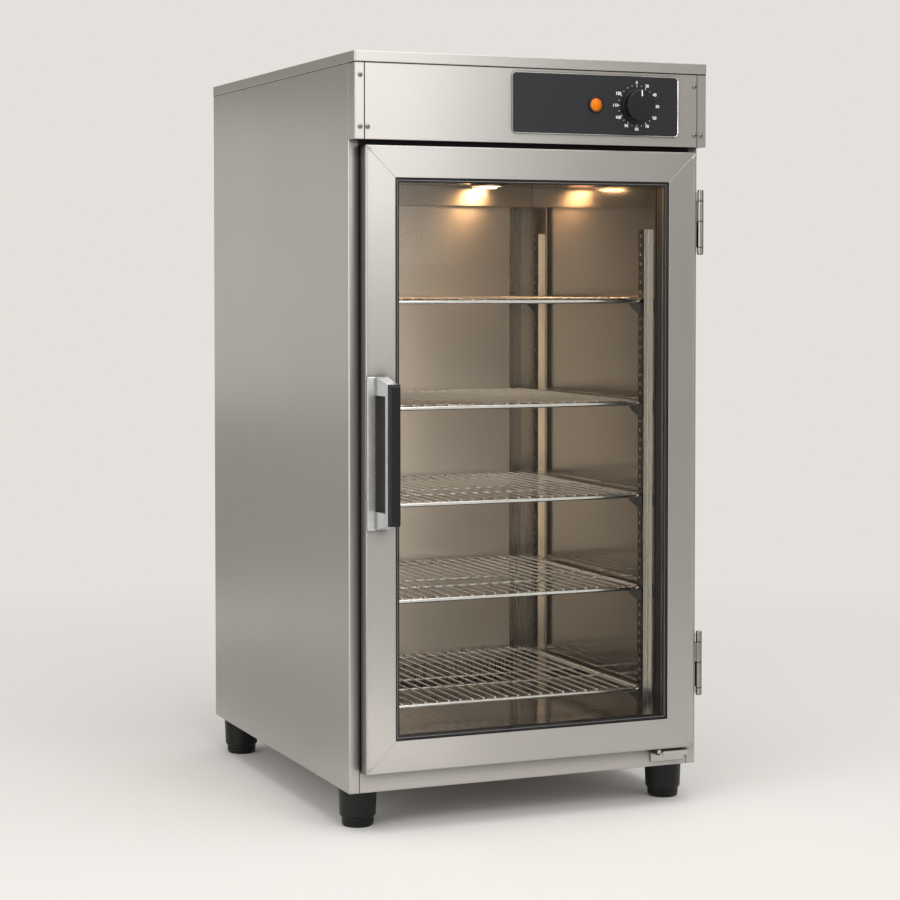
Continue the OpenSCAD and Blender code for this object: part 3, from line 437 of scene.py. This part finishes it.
def clear_pane(name, ior):
    """Coated float glass: clear, with a breath of green and a barely wavy face.

    It lets shadow rays through, so that light falls into the chamber.
    """
    material, tree, place = start(name)
    waves = grain(tree, place, (140, 140, 140), detail=1.0)
    tint = tones(tree, span(tree, waves, 0.0, 1.0), linear("#FAFBFA"), linear("#FDFDFD"))
    glass = add(tree, "ShaderNodeBsdfPrincipled", {
        "Base Color": tint, "Roughness": 0.0, "IOR": ior, "Transmission Weight": 1.0,
        "Normal": relief(tree, waves, 0.02, 0.1),
    })
    through = add(tree, "ShaderNodeBsdfTransparent", {"Color": linear("#F6F7F6")})
    shadow = add(tree, "ShaderNodeLightPath").outputs["Is Shadow Ray"]
    mixed = add(tree, "ShaderNodeMixShader", {
        "Fac": shadow, 1: glass.outputs[0], 2: through.outputs[0],
    })
    add(tree, "ShaderNodeOutputMaterial", {"Surface": mixed.outputs[0]})
    return material


def wool(name):
    """Resin-bonded mineral wool: matt, with layered fibres."""
    material, tree, place = start(name)
    fibres = grain(tree, place, (9, 9, 1.6), detail=5.0, roughness=0.7)
    tone = tones(tree, span(tree, fibres, 0.0, 1.0), linear("#A8925A"), linear("#DCCB93"))
    surface(tree, {
        "Base Color": tone, "Roughness": 0.95, "Normal": relief(tree, fibres, 0.8, 1.2),
    })
    return material


def heated_sheath(name):
    """Steel heater sheath with the brown and blue tints of its own heat."""
    material, tree, place = start(name)
    tints = grain(tree, place, (60, 60, 30), detail=2.0)
    scale_skin = grain(tree, place, (1.5, 1.5, 1.5), detail=3.0)
    tone = tones(tree, span(tree, tints, 0.0, 1.0), linear("#5B4A40"), linear("#7C7470"))
    surface(tree, {
        "Base Color": tone, "Metallic": 1.0,
        "Roughness": span(tree, scale_skin, 0.4, 0.6),
        "Normal": relief(tree, scale_skin, 0.3, 0.1),
    })
    return material


def dress(material, *names):
    """Gives a material to CAD nodes or new pieces."""
    for name in names:
        piece = NODES.get(name) or bpy.data.objects[name]
        piece.data.materials.clear()
        piece.data.materials.append(material)


# ---- small trims ----------------------------------------------------------------


def hand_over(name, shape, material, body):
    """Makes a piece of a finished shape, dresses it and sets what it moves with."""
    bmesh.ops.recalc_face_normals(shape, faces=shape.faces[:])
    mesh = bpy.data.meshes.new(name)
    shape.to_mesh(mesh)
    shape.free()
    piece = bpy.data.objects.new(name, mesh)
    bpy.context.scene.collection.objects.link(piece)
    dress(material, name)
    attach(piece, body)
    return piece


def bar(shape, at, angle, radius, size):
    """Bar on a dial: turned clockwise from the top, its middle at a radius."""
    turn = Matrix.Rotation(angle, 4, "Y")
    bmesh.ops.create_cube(shape, size=1.0, matrix=(
        Matrix.Translation(at) @ turn @ Matrix.Translation((0, 0, radius))
        @ Matrix.Diagonal((*size, 1))
    ))


def numeral(shape, words, at, height, depth):
    """Upright numeral that faces the front, added to a shape."""
    capital_share, boldness = 0.7, 0.045
    curve = bpy.data.curves.new("numeral", "FONT")
    curve.body = words
    curve.align_x = "CENTER"
    curve.align_y = "CENTER"
    curve.size = height / capital_share
    curve.extrude = depth / 2
    curve.resolution_u = 3
    curve.offset = height * boldness
    holder = bpy.data.objects.new("numeral", curve)
    bpy.context.scene.collection.objects.link(holder)
    seen = holder.evaluated_get(bpy.context.evaluated_depsgraph_get())
    mesh = bpy.data.meshes.new_from_object(seen)
    mesh.transform(Matrix.Translation(at) @ Matrix.Rotation(math.radians(90), 4, "X"))
    shape.from_mesh(mesh)
    bpy.data.objects.remove(holder)
    bpy.data.meshes.remove(mesh)


def window_ring(low, high, corner, section, steps=6):
    """Closed ring round a window from its outer corners (x, z).

    The section goes round the ring's body in (distance inwards, y) points.
    """
    shape = bmesh.new()
    rows = []
    for inset, y in section:
        radius = max(corner - inset, 0.02 * MM)
        left, right = low[0] + inset + radius, high[0] - inset - radius
        foot, top = low[1] + inset + radius, high[1] - inset - radius
        row = []
        for quarter, (x, z) in enumerate(((right, top), (left, top), (left, foot), (right, foot))):
            for step in range(steps + 1):
                angle = (quarter + step / steps) * math.pi / 2
                row.append(shape.verts.new(
                    (x + radius * math.cos(angle), y, z + radius * math.sin(angle))
                ))
        rows.append(row)
    for row, after in zip(rows, rows[1:] + rows[:1]):
        for i in range(len(row)):
            j = (i + 1) % len(row)
            shape.faces.new((row[i], row[j], after[j], after[i]))
    bmesh.ops.remove_doubles(shape, verts=shape.verts[:], dist=1e-6)
    return shape


def turned(profile, axis_at, steps=20):
    """Small turned shape about an axis along Y, from (radius, y) points."""
    shape = bmesh.new()
    points = [shape.verts.new((axis_at[0] + r, y, axis_at[1])) for r, y in profile]
    edges = [shape.edges.new(pair) for pair in zip(points, points[1:])]
    bmesh.ops.spin(
        shape, geom=points + edges, cent=(axis_at[0], 0, axis_at[1]), axis=(0, 1, 0),
        angle=2 * math.pi, steps=steps, use_merge=True,
    )
    bmesh.ops.remove_doubles(shape, verts=shape.verts[:], dist=1e-6)
    return shape


def join_shapes(shapes):
    """One shape of several."""
    whole = bmesh.new()
    for shape in shapes:
        mesh = bpy.data.meshes.new("part")
        shape.to_mesh(mesh)
        shape.free()
        whole.from_mesh(mesh)
        bpy.data.meshes.remove(mesh)
    return whole


def studio_light(name, place, target, size, power, colour="#FFFFFF"):
    """Rectangular area light that looks at a target."""
    data = bpy.data.lights.new(name, "AREA")
    data.shape = "RECTANGLE"
    data.size, data.size_y = size
    data.energy = power
    data.color = linear(colour)[:3]
    lamp = bpy.data.objects.new(name, data)
    lamp.location = place
    lamp.rotation_euler = (Vector(target) - Vector(place)).to_track_quat("-Z", "Y").to_euler()
    bpy.context.scene.collection.objects.link(lamp)
    return lamp


# ---- operators ----------------------------------------------------------------


class PLATEWARMER_OT_shell(bpy.types.Operator):
    """Brushed steel for the panels, lid, rails and back, and rivets in the back"""
    bl_idname = "plate_warmer.shell"
    bl_label = "Shell"

    def execute(self, context):
        look = context.scene.warmer_finishes
        steel, rough = look.steel, look.steel_roughness
        # Painted shade: these sheets darken within 30 mm of the next piece, as on the side flanges
        # beside the door.
        upright = brushed_sheet("brushed_stainless_upright", steel, rough, BELT_UP)
        dress(upright, "side_panel_left", "side_panel_right", "back_panel", "base_pan")
        flange_joints = [("X", 280.8, 1.1)]
        sill = brushed_sheet("brushed_stainless_sill", steel, rough, BELT_LEVEL,
                             drawn=flange_joints)
        dress(sill, "bottom_rail")
        # Painted shade: the frame, seen in the gaps round the door and under the header, is
        # painted at about a third of the steel's tone, and darkens within 40 mm of the next piece.
        inner = brushed_sheet("shaded_stainless_frame", scaled(steel, 0.35), 0.45, BELT_LEVEL,
                              joints=40)
        dress(inner, "front_frame")
        dress(brushed_sheet("brushed_stainless_lid", steel, rough + 0.02, BELT_LEVEL), "lid")
        dress(wool("bonded_mineral_wool"), "insulation_slabs")
        dress(moulded("nylon_gland", linear("#1B1B1B"), 0.5, 1.2), "cable_gland")

        (_, _, low_z), (high_x, face, high_z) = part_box("back_panel")
        outline = ((0.0, 0.6), (0.8, 0.6), (1.0, 1.3), (2.2, 1.0), (3.1, 0.3), (3.3, -0.2),
                   (0.0, -0.2))
        dome = [(radius * MM, face + out * MM) for radius, out in outline]
        side_x, side_z, level_z = high_x - 9 * MM, 20 * MM, 12 * MM
        rows = 7
        spots = [
            (side * side_x, low_z + side_z + row * (high_z - low_z - 2 * side_z) / (rows - 1))
            for side in (-1, 1) for row in range(rows)
        ]
        spots += [
            (x * MM, z) for x in (-150, 0, 150) for z in (low_z + level_z, high_z - level_z)
        ]
        rivets = join_shapes([turned(dome, spot) for spot in spots])
        steel_rivet = plated("steel_rivet", linear("#B9B6B0"), 0.28, 3.0)
        hand_over("back_rivets", rivets, steel_rivet, "cabinet")
        return {"FINISHED"}


class PLATEWARMER_OT_header(bpy.types.Operator):
    """Brushed steel for the header, and screws darkened with painted shade"""
    bl_idname = "plate_warmer.header"
    bl_label = "Header"

    def execute(self, context):
        look = context.scene.warmer_finishes
        # Drawn dark lines for the closed joints at the end caps, and a painted shadow under the
        # lid's rim. The header also darkens within 30 mm of the next piece as painted shade.
        cap_joints, lid_rim_shadow = ("X", 281.45, 1.0), ("Z", 1164.0, 2.2)
        level = brushed_sheet(
            "brushed_stainless_header", look.steel, look.steel_roughness, BELT_LEVEL,
            drawn=[cap_joints, lid_rim_shadow],
        )
        dress(level, "header_fascia", "header_end_left", "header_end_right")
        # The screws are painted darker than the sheet, as painted shade for the dark outline round
        # them, with painted shade within 2 mm of the fascia.
        dress(plated("stainless_screw_painted_shade", linear("#8F8C88"), 0.25, 3.0, 0.6, 2.0), "header_screws")
        return {"FINISHED"}


class PLATEWARMER_OT_controls(bpy.types.Operator):
    """Control plate with its dial, the knob with its pointer, and the indicator lamp"""
    bl_idname = "plate_warmer.controls"
    bl_label = "Controls"

    def execute(self, context):
        look = context.scene.warmer_finishes
        trims = context.scene.warmer_trims
        dress(printed_plate("satin_printed_plate", look.plate), "control_plate")
        knob_black = moulded("moulded_black_knob", linear("#08090A"), 0.34, 0.9, 0.03, 1.2)
        dress(knob_black, "knob", "indicator_bezel")
        dress(lens_material("orange_acrylic", look.lens), "indicator_lens")
        dress(painted("grey_device_paint", linear("#6C6E70"), 0.5), "thermostat")
        dress(plated("turned_spindle", linear("#B8B6B2"), 0.3, 4.0), "knob_spindle")
        ink = moulded("white_printing_ink", look.marks, 0.55, 1.5, 0.02, 0.05)

        centre = middle("knob")
        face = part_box("control_plate")[0][1]
        depth = 0.12 * MM
        axis = Vector((centre.x, face - depth / 2, centre.z))
        marks = bmesh.new()
        width, tick, half_tick = 0.9 * MM, trims.tick_length, 1.5 * MM
        # 0 and the numbers from 30 to 120 stand 30 degrees apart, each with a long tick. Short
        # ticks stand half way between, and at the twelfth place, which has no number.
        numbers = ["0"] + [str(number) for number in range(30, 121, 10)]
        for place in range(len(numbers)):
            bar(marks, axis, math.radians(30 * place), trims.tick_inner + tick / 2,
                (width, depth, tick))
        for half_place in range(24):
            if half_place % 2 or half_place == 22:
                bar(marks, axis, math.radians(15 * half_place),
                    trims.tick_inner + tick - 0.7 * MM, (width, depth, half_tick))
        for place, words in enumerate(numbers):
            angle = math.radians(30 * place)
            out = trims.numeral_radius + (0.9 * MM if len(words) > 2 else 0)
            spot = axis + out * Vector((math.sin(angle), 0, math.cos(angle)))
            numeral(marks, words, spot, trims.numeral_height, depth)
        hand_over("dial_marks", marks, ink, "cabinet")

        low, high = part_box("control_plate")
        lip = 1.5 * MM
        rim = window_ring(
            (low[0] - lip, low[2] - lip), (high[0] + lip, high[2] + lip), 6.5 * MM,
            [(0.0, high[1]), (0.0, low[1] - 0.6 * MM), (0.3 * MM, low[1] - 0.7 * MM),
             (lip, low[1] + 0.7 * MM), (lip, high[1])],
        )
        rim_metal = plated("bright_rim", linear("#E6E4E0"), 0.3, 4.0)
        hand_over("control_plate_rim", rim, rim_metal, "cabinet")

        pointer = bmesh.new()
        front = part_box("knob")[0][1]
        bar(pointer, Vector((centre.x, front + 0.35 * MM, centre.z)), 0.0, 18.8 * MM,
            (2.1 * MM, 0.5 * MM, 9.4 * MM))
        hand_over("knob_pointer", pointer, ink, "knob")
        return {"FINISHED"}


class PLATEWARMER_OT_door(bpy.types.Operator):
    """Steel skins, glazing frame, panes, seal, rubber bead and spacer of the door"""
    bl_idname = "plate_warmer.door"
    bl_label = "Door"

    def execute(self, context):
        look = context.scene.warmer_finishes
        trims = context.scene.warmer_trims
        steel, rough = look.steel, look.steel_roughness
        hem = (566.5, 272, 466)
        # Painted shade: the stiles and rails darken within 30 mm of the next piece, as round the
        # handle.
        stile = brushed_sheet("brushed_stainless_stile", steel, rough, BELT_UP, hem=hem)
        rail = brushed_sheet("brushed_stainless_rail", steel, rough, BELT_LEVEL, hem=hem)
        dress(stile, "door_stile_left", "door_stile_right")
        dress(rail, "door_rail_top", "door_rail_bottom")
        dress(moulded("black_glazing_profile", linear("#17181A"), 0.32, 1.6), "glazing_frame")
        dress(clear_pane("coated_float_glass", look.glass_ior), "glass_outer", "glass_inner")
        rubber = moulded("black_epdm_rubber", linear("#101010"), 0.5, 0.8, 0.06, 0.6)
        dress(rubber, "door_seal")

        pane_low, pane_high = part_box("glass_outer")
        covered, corner = 4 * MM, 1 * MM
        low = (pane_low[0] + covered, pane_low[2] + covered)
        high = (pane_high[0] - covered, pane_high[2] - covered)
        glass_front, pane_back = pane_low[1], pane_high[1]
        lips = ((0.0, 0.9), (0.8, 1.2), (3.0, 1.1), (3.6, 0.6), (4.7, 0.6), (5.3, 1.0),
                (6.8, 0.8), (7.3, 0.3))
        section = [(inset * MM, glass_front - height * trims.bead) for inset, height in lips]
        section += [(7.3 * MM, glass_front), (0.0, glass_front)]
        bead = window_ring(low, high, corner, section)
        bead_rubber = moulded("black_glazing_rubber", linear("#141415"), 0.3, 0.8, 0.03, 0.3)
        hand_over("glazing_bead", bead, bead_rubber, "door")

        groove = glass_front - 0.55 * trims.bead
        crown = groove - 0.7 * MM
        line = window_ring(low, high, corner, [
            (3.7 * MM, groove), (3.7 * MM, crown), (4.6 * MM, crown), (4.6 * MM, groove),
        ])
        line_metal = plated("mill_aluminium_line", linear("#8E8D8A"), 0.4, 5.0, None)
        hand_over("glazing_line", line, line_metal, "door")

        strip_front = pane_back + 3.2 * MM
        strip_back = min(pane_back + 13.8 * MM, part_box("glass_inner")[0][1])
        spacer = window_ring(low, high, corner, [
            (-1.8 * MM, strip_front), (0.7 * MM, strip_front), (0.7 * MM, strip_back),
            (-1.8 * MM, strip_back),
        ])
        spacer_metal = plated("mill_aluminium_spacer", linear("#A6A5A2"), 0.35, 5.0, 0.2)
        hand_over("glazing_spacer", spacer, spacer_metal, "door")
        return {"FINISHED"}


class PLATEWARMER_OT_handle(bpy.types.Operator):
    """Cast body, dark lining and black grip of the handle"""
    bl_idname = "plate_warmer.handle"
    bl_label = "Handle"

    def execute(self, context):
        look = context.scene.warmer_finishes
        # The casting darkens within 6 mm of the next piece as painted shade.
        casting = plated("satin_silver_casting", linear("#DFE0E1"), 0.3, 9.0, 2.0, 6.0)
        dress(casting, "handle_body")
        # The lining's dark tone is partly its own and partly painted shade of the cavity behind
        # the grip.
        dress(painted("dark_bronze_lining_and_cavity_shade", linear("#2C2925"), 0.4, 2.0), "handle_backplate")
        dress(moulded("moulded_black_grip", look.grip, 0.42, 1.1, 0.04, 1.6, 1.38), "handle_grip")
        return {"FINISHED"}


class PLATEWARMER_OT_hinges(bpy.types.Operator):
    """Hinges, their pins, and the bracket and roller that the door rests on"""
    bl_idname = "plate_warmer.hinges"
    bl_label = "Hinges"

    def execute(self, context):
        knuckle_ends = (963.7, 931.5, 890.3, 260.0, 227.8, 186.6)
        # The hinges and bracket darken within 4 and 6 mm of the next piece as painted shade; the
        # drawn lines are the knuckles' joints.
        satin = plated("satin_hinge_steel", linear("#94918D"), 0.2, 8.0, 0.5, 4.0,
                       [("Z", height, 0.9) for height in knuckle_ends])
        dress(satin, "hinge_frame_leaves", "hinge_door_leaves", "hinge_pins")
        dress(plated("satin_bracket", linear("#C2BFBA"), 0.3, 8.0, 0.5, 6.0), "rest_bracket")
        dress(moulded("grey_nylon_roller", linear("#1A1A1B"), 0.4, 1.0), "rest_roller")
        return {"FINISHED"}


class PLATEWARMER_OT_chamber(bpy.types.Operator):
    """Bright steel lining, pilasters and clips, and the five wire shelves"""
    bl_idname = "plate_warmer.chamber"
    bl_label = "Chamber"

    def execute(self, context):
        look = context.scene.warmer_finishes
        smooth = {"joints": 0, "relief_depth": 0.01}
        # Lit and shaded copies of the one chamber steel: the walls are painted a little darker and
        # the back liner beside the baffle much darker, as painted shade, and the baffle lighter,
        # as painted light.
        walls = brushed_sheet("rolled_lining_painted_shade", scaled(look.liner, 0.88), 0.1, ROLL_UP,
                              None, **smooth)
        corner = brushed_sheet("shaded_rolled_lining", scaled(look.liner, 0.7), 0.26, ROLL_UP,
                               None, **smooth)
        back = brushed_sheet("rolled_baffle_painted_light", scaled(look.liner, 1.25), 0.36, ROLL_UP,
                             None, 0.5, **smooth)
        level = brushed_sheet("bright_rolled_duct", look.liner, 0.46, ROLL_LEVEL, 1.5, 0.7,
                              **smooth)
        # The racks' light tone on faces towards the door is painted light, and their dark tone on
        # the slotted side faces is painted shade.
        rack = rack_steel("front_rack_painted_light_and_shade", linear("#F4F2EE"), linear("#5B544C"))
        rear_rack = rack_steel("rear_rack_painted_light_and_shade", linear("#E6DCCD"), linear("#C9BBA8"))
        dress(walls, "liner_left", "liner_right", "liner_ceiling", "liner_floor")
        dress(back, "back_baffle")
        dress(corner, "liner_back")
        dress(level, "air_duct")
        dress(rack, "pilasters_front")
        dress(rear_rack, "pilasters_rear")
        dress(painted("dark_zinc_clip", linear("#3A3835"), 0.45, 1.5), "shelf_clips")
        wire = plated("plated_shelf_wire", look.wire, 0.12, 5.0, None)
        dress(wire, *(f"shelf_{number}" for number in range(1, 6)))
        return {"FINISHED"}


class PLATEWARMER_OT_heating(bpy.types.Operator):
    """Lamps, heater, fan and motor"""
    bl_idname = "plate_warmer.heating"
    bl_label = "Heating"

    def execute(self, context):
        dress(plated("bright_lamp_ring", linear("#E4DFD6"), 0.3, 4.0), "ceiling_lamp_rings")
        dress(lamp_glass("frosted_lamp_glass", linear("#FFD9A0")), "ceiling_lamp_lenses")
        dress(heated_sheath("heat_tinted_sheath"), "heater_element")
        dress(plated("mill_aluminium_fan", linear("#9A9B9D"), 0.38, 6.0), "fan_wheel")
        dress(painted("motor_grey_paint", linear("#595C5F"), 0.5), "fan_motor")
        return {"FINISHED"}


class PLATEWARMER_OT_feet(bpy.types.Operator):
    """Black moulded feet"""
    bl_idname = "plate_warmer.feet"
    bl_label = "Feet"

    def execute(self, context):
        black = moulded(
            "moulded_black_foot", context.scene.warmer_finishes.foot, 0.42, 1.0, 0.05, 0.8, 1.38
        )
        corners = ("fl", "fr", "rl", "rr")
        dress(black, "foot_sleeves", *(f"foot_adjuster_{corner}" for corner in corners))
        return {"FINISHED"}


# Cards for the polished faces to mirror: name, place, target and size in metres, tone, strength
CARDS = (
    ("grey_card_right", (1.75, -1.9, 1.5), (0.0, 0.0, 1.5), (2.2, 3.0), "#C4C1BC", 1.0),
    ("grey_card_rear", (-1.2, 2.1, 0.24), (-0.3, 0.0, 0.24), (2.6, 0.52), "#B5B0AA", 1.0),
    ("grey_card_high", (-1.2, 2.1, 1.5), (-0.3, 0.0, 1.5), (2.6, 0.42), "#A39E98", 1.0),
    ("grey_card_low", (-0.68, 0.85, 0.004), (-0.68, 0.85, 1.0), (0.5, 1.3), "#BAB5AF", 1.0),
    ("low_reflector", (-0.17, -0.96, 0.004), (-0.17, -0.96, 1.0), (0.52, 0.4), "#FFFCF8", 2.1),
)


class PLATEWARMER_OT_studio(bpy.types.Operator):
    """Paper floor, room light, softboxes, the chamber's lamps and the camera"""
    bl_idname = "plate_warmer.studio"
    bl_label = "Studio"

    def execute(self, context):
        scene = context.scene
        studio = scene.warmer_studio
        paper = [*studio.paper, 1.0]
        self.floor_and_world(scene, studio, paper)
        for name, place, target, size, power in (
            ("front_softbox", (0.2, -3.2, 3.0), (0.0, 0.0, 0.5), (2.2, 1.4), studio.front_box),
            ("header_strip", (0.31, -1.9, 1.6), (-0.1, 0.0, 1.1), (0.46, 1.5), studio.strip_box),
            ("top_softbox", (0.0, -0.9, 3.2), (0.0, -0.1, 0.6), (2.4, 1.8), studio.top_box),
            ("left_softbox", (-3.0, -1.4, 1.0), (0.0, 0.0, 0.8), (1.6, 2.4), studio.left_box),
        ):
            studio_light(name, place, target, size, power)
        for card in CARDS:
            self.mirrored_card(*card)
        self.chamber_lights(scene, studio)

        data = bpy.data.cameras.new("camera")
        data.lens = CAMERA_LENS
        data.sensor_width = 36.0
        data.shift_y = CAMERA_SHIFT
        camera = bpy.data.objects.new("camera", data)
        camera.location = CAMERA_PLACE
        camera.rotation_euler = Euler(
            (math.radians(90 - CAMERA_DOWN), 0.0, math.radians(-CAMERA_RIGHT)), "XYZ"
        )
        scene.collection.objects.link(camera)
        scene.camera = camera
        scene.view_settings.view_transform = "Standard"
        return {"FINISHED"}

    def floor_and_world(self, scene, studio, paper):
        """Paper floor, and a world that lights evenly and shows the paper's tone."""
        plane = bmesh.new()
        bmesh.ops.create_grid(plane, x_segments=8, y_segments=8, size=20.0)
        mesh = bpy.data.meshes.new("floor")
        plane.to_mesh(mesh)
        plane.free()
        floor = bpy.data.objects.new("floor", mesh)
        scene.collection.objects.link(floor)
        mesh.materials.append(self.paper_material(paper))

        world = bpy.data.worlds.new("studio")
        scene.world = world
        world.use_nodes = True
        tree = world.node_tree
        tree.nodes.clear()
        seen = add(tree, "ShaderNodeBackground", {"Color": paper, "Strength": 1.0})
        lit = add(tree, "ShaderNodeBackground", {
            "Color": linear("#FFFEFC"), "Strength": studio.room,
        })
        mixed = add(tree, "ShaderNodeMixShader", {
            "Fac": self.straight_rays(tree), 1: lit.outputs[0], 2: seen.outputs[0],
        })
        add(tree, "ShaderNodeOutputWorld", {"Surface": mixed.outputs[0]})

    def chamber_lights(self, scene, studio):
        """Light of the two rear lamps, and the light that the bright walls throw about.

        The side walls and front pilasters have a pair of their own, nearer to the middle and
        the door, as the photograph shows the light there.
        """
        fittings = ("liner_left", "liner_right", "pilasters_front")
        others = [name for name in NODES if name not in fittings]
        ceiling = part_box("liner_ceiling")[0][2]
        duct_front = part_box("air_duct")[0][1]
        for name, pieces, x, shift, ahead, power in (
            ("chamber_lamp", others, 139, 9, 24, studio.chamber_lamp),
            ("chamber_lamp_on_walls", fittings, 112, 0, 40, 0.5 * studio.chamber_lamp),
        ):
            lit = self.lit_group(scene, name, pieces)
            for side in (-1, 1):
                data = bpy.data.lights.new(name, "AREA")
                data.shape = "DISK"
                data.size = 44 * MM
                data.energy = power
                data.color = linear("#FFCB96")[:3]
                lamp = bpy.data.objects.new(name, data)
                lamp.location = ((side * x + shift) * MM, duct_front - ahead * MM,
                                 ceiling - 4 * MM)
                lamp.visible_camera = False
                lamp.light_linking.receiver_collection = lit
                scene.collection.objects.link(lamp)

        bounce = studio_light("chamber_bounce", (0.05, -0.27, 0.62), (0.05, 0.2, 0.62),
                              (0.42, 0.68), studio.bounce, "#FFEBD6")
        bounce.visible_camera = False
        bounce.light_linking.receiver_collection = self.lit_group(scene, "chamber_bounce", (
            "liner_back", "back_baffle", "air_duct", "pilasters_rear", "shelf_clips",
        ))

    @staticmethod
    def lit_group(scene, name, pieces):
        """Collection of the CAD nodes that one kind of lamp lights."""
        group = bpy.data.collections.new("lit_by_" + name)
        scene.collection.children.link(group)
        for piece in pieces:
            group.objects.link(NODES[piece])
        return group

    @staticmethod
    def mirrored_card(name, place, target, size, tone, strength):
        """Even card of one tone that only the polished faces see, as in a photographer's tent."""
        shape = bmesh.new()
        bmesh.ops.create_grid(shape, x_segments=1, y_segments=1, size=0.5)
        look_at = (Vector(target) - Vector(place)).to_track_quat("Z", "Y").to_matrix().to_4x4()
        bmesh.ops.transform(shape, verts=shape.verts[:], matrix=(
            Matrix.Translation(place) @ look_at @ Matrix.Diagonal((*size, 1, 1))
        ))
        mesh = bpy.data.meshes.new(name)
        shape.to_mesh(mesh)
        shape.free()
        card = bpy.data.objects.new(name, mesh)
        bpy.context.scene.collection.objects.link(card)
        material, tree, place = start(name + "_paper")
        weave = grain(tree, place, (30, 30, 30))
        tint = tones(tree, span(tree, weave, 0.0, 1.0), scaled(linear(tone), 0.97), linear(tone))
        glow = add(tree, "ShaderNodeEmission", {"Color": tint, "Strength": strength})
        add(tree, "ShaderNodeOutputMaterial", {"Surface": glow.outputs[0]})
        mesh.materials.append(material)
        card.visible_camera = False
        card.visible_diffuse = False
        card.visible_transmission = False
        card.visible_shadow = False

    @staticmethod
    def straight_rays(tree):
        """1 for rays from the camera, mirrors and glass, which see the paper's own tone."""
        rays = add(tree, "ShaderNodeLightPath").outputs
        mirrored = add(tree, "ShaderNodeMath", {
            0: rays["Is Camera Ray"], 1: rays["Is Glossy Ray"],
        }, operation="MAXIMUM").outputs[0]
        return add(tree, "ShaderNodeMath", {
            0: mirrored, 1: rays["Is Transmission Ray"],
        }, operation="MAXIMUM").outputs[0]

    def paper_material(self, paper):
        """Matt background paper that keeps the shadow near the cabinet and evens out far off."""
        material, tree, place = start("matt_background_paper")
        fibre = grain(tree, place, (6, 6, 6), detail=3.0)
        tone = tones(tree, span(tree, fibre, 0.0, 1.0), linear("#E8E6E2"), linear("#ECEAE6"))
        lit = add(tree, "ShaderNodeBsdfDiffuse", {"Color": tone})
        seen = add(tree, "ShaderNodeEmission", {"Color": paper, "Strength": 1.0})
        away = add(tree, "ShaderNodeVectorMath", {0: place}, operation="LENGTH").outputs["Value"]
        keep = add(tree, "ShaderNodeMapRange", {
            "Value": away, "From Min": 0.45, "From Max": 2.5, "To Min": 0.0, "To Max": 1.0,
        }).outputs[0]
        near = add(tree, "ShaderNodeMixShader", {
            "Fac": keep, 1: lit.outputs[0], 2: seen.outputs[0],
        })
        mixed = add(tree, "ShaderNodeMixShader", {
            "Fac": self.straight_rays(tree), 1: lit.outputs[0], 2: near.outputs[0],
        })
        add(tree, "ShaderNodeOutputMaterial", {"Surface": mixed.outputs[0]})
        return material


OPERATORS = (
    PLATEWARMER_OT_studio, PLATEWARMER_OT_shell, PLATEWARMER_OT_header, PLATEWARMER_OT_controls,
    PLATEWARMER_OT_door, PLATEWARMER_OT_handle, PLATEWARMER_OT_hinges, PLATEWARMER_OT_chamber,
    PLATEWARMER_OT_heating, PLATEWARMER_OT_feet,
)


class PLATEWARMER_PT_panel(bpy.types.Panel):
    """Steps that dress the plate warmer cabinet"""
    bl_idname = "PLATEWARMER_PT_panel"
    bl_label = "Plate warmer cabinet"
    bl_space_type = "VIEW_3D"
    bl_region_type = "UI"
    bl_category = "Plate warmer"

    def draw(self, context):
        scene = context.scene
        for group in (scene.warmer_finishes, scene.warmer_trims, scene.warmer_studio):
            for name in group.__annotations__:
                self.layout.prop(group, name)
        for operator in OPERATORS:
            self.layout.operator(operator.bl_idname)


GROUPS = {
    "warmer_finishes": PLATEWARMER_PG_finishes,
    "warmer_trims": PLATEWARMER_PG_trims,
    "warmer_studio": PLATEWARMER_PG_studio,
}


def register():
    for name, group in GROUPS.items():
        bpy.utils.register_class(group)
        setattr(bpy.types.Scene, name, bpy.props.PointerProperty(type=group))
    for operator in OPERATORS:
        bpy.utils.register_class(operator)
    bpy.utils.register_class(PLATEWARMER_PT_panel)


def unregister():
    bpy.utils.unregister_class(PLATEWARMER_PT_panel)
    for operator in reversed(OPERATORS):
        bpy.utils.unregister_class(operator)
    for name, group in GROUPS.items():
        delattr(bpy.types.Scene, name)
        bpy.utils.unregister_class(group)


def main():
    register()
    for operator in OPERATORS:
        family, name = operator.bl_idname.split(".")
        getattr(getattr(bpy.ops, family), name)()


if __name__ == "__main__":
    main()
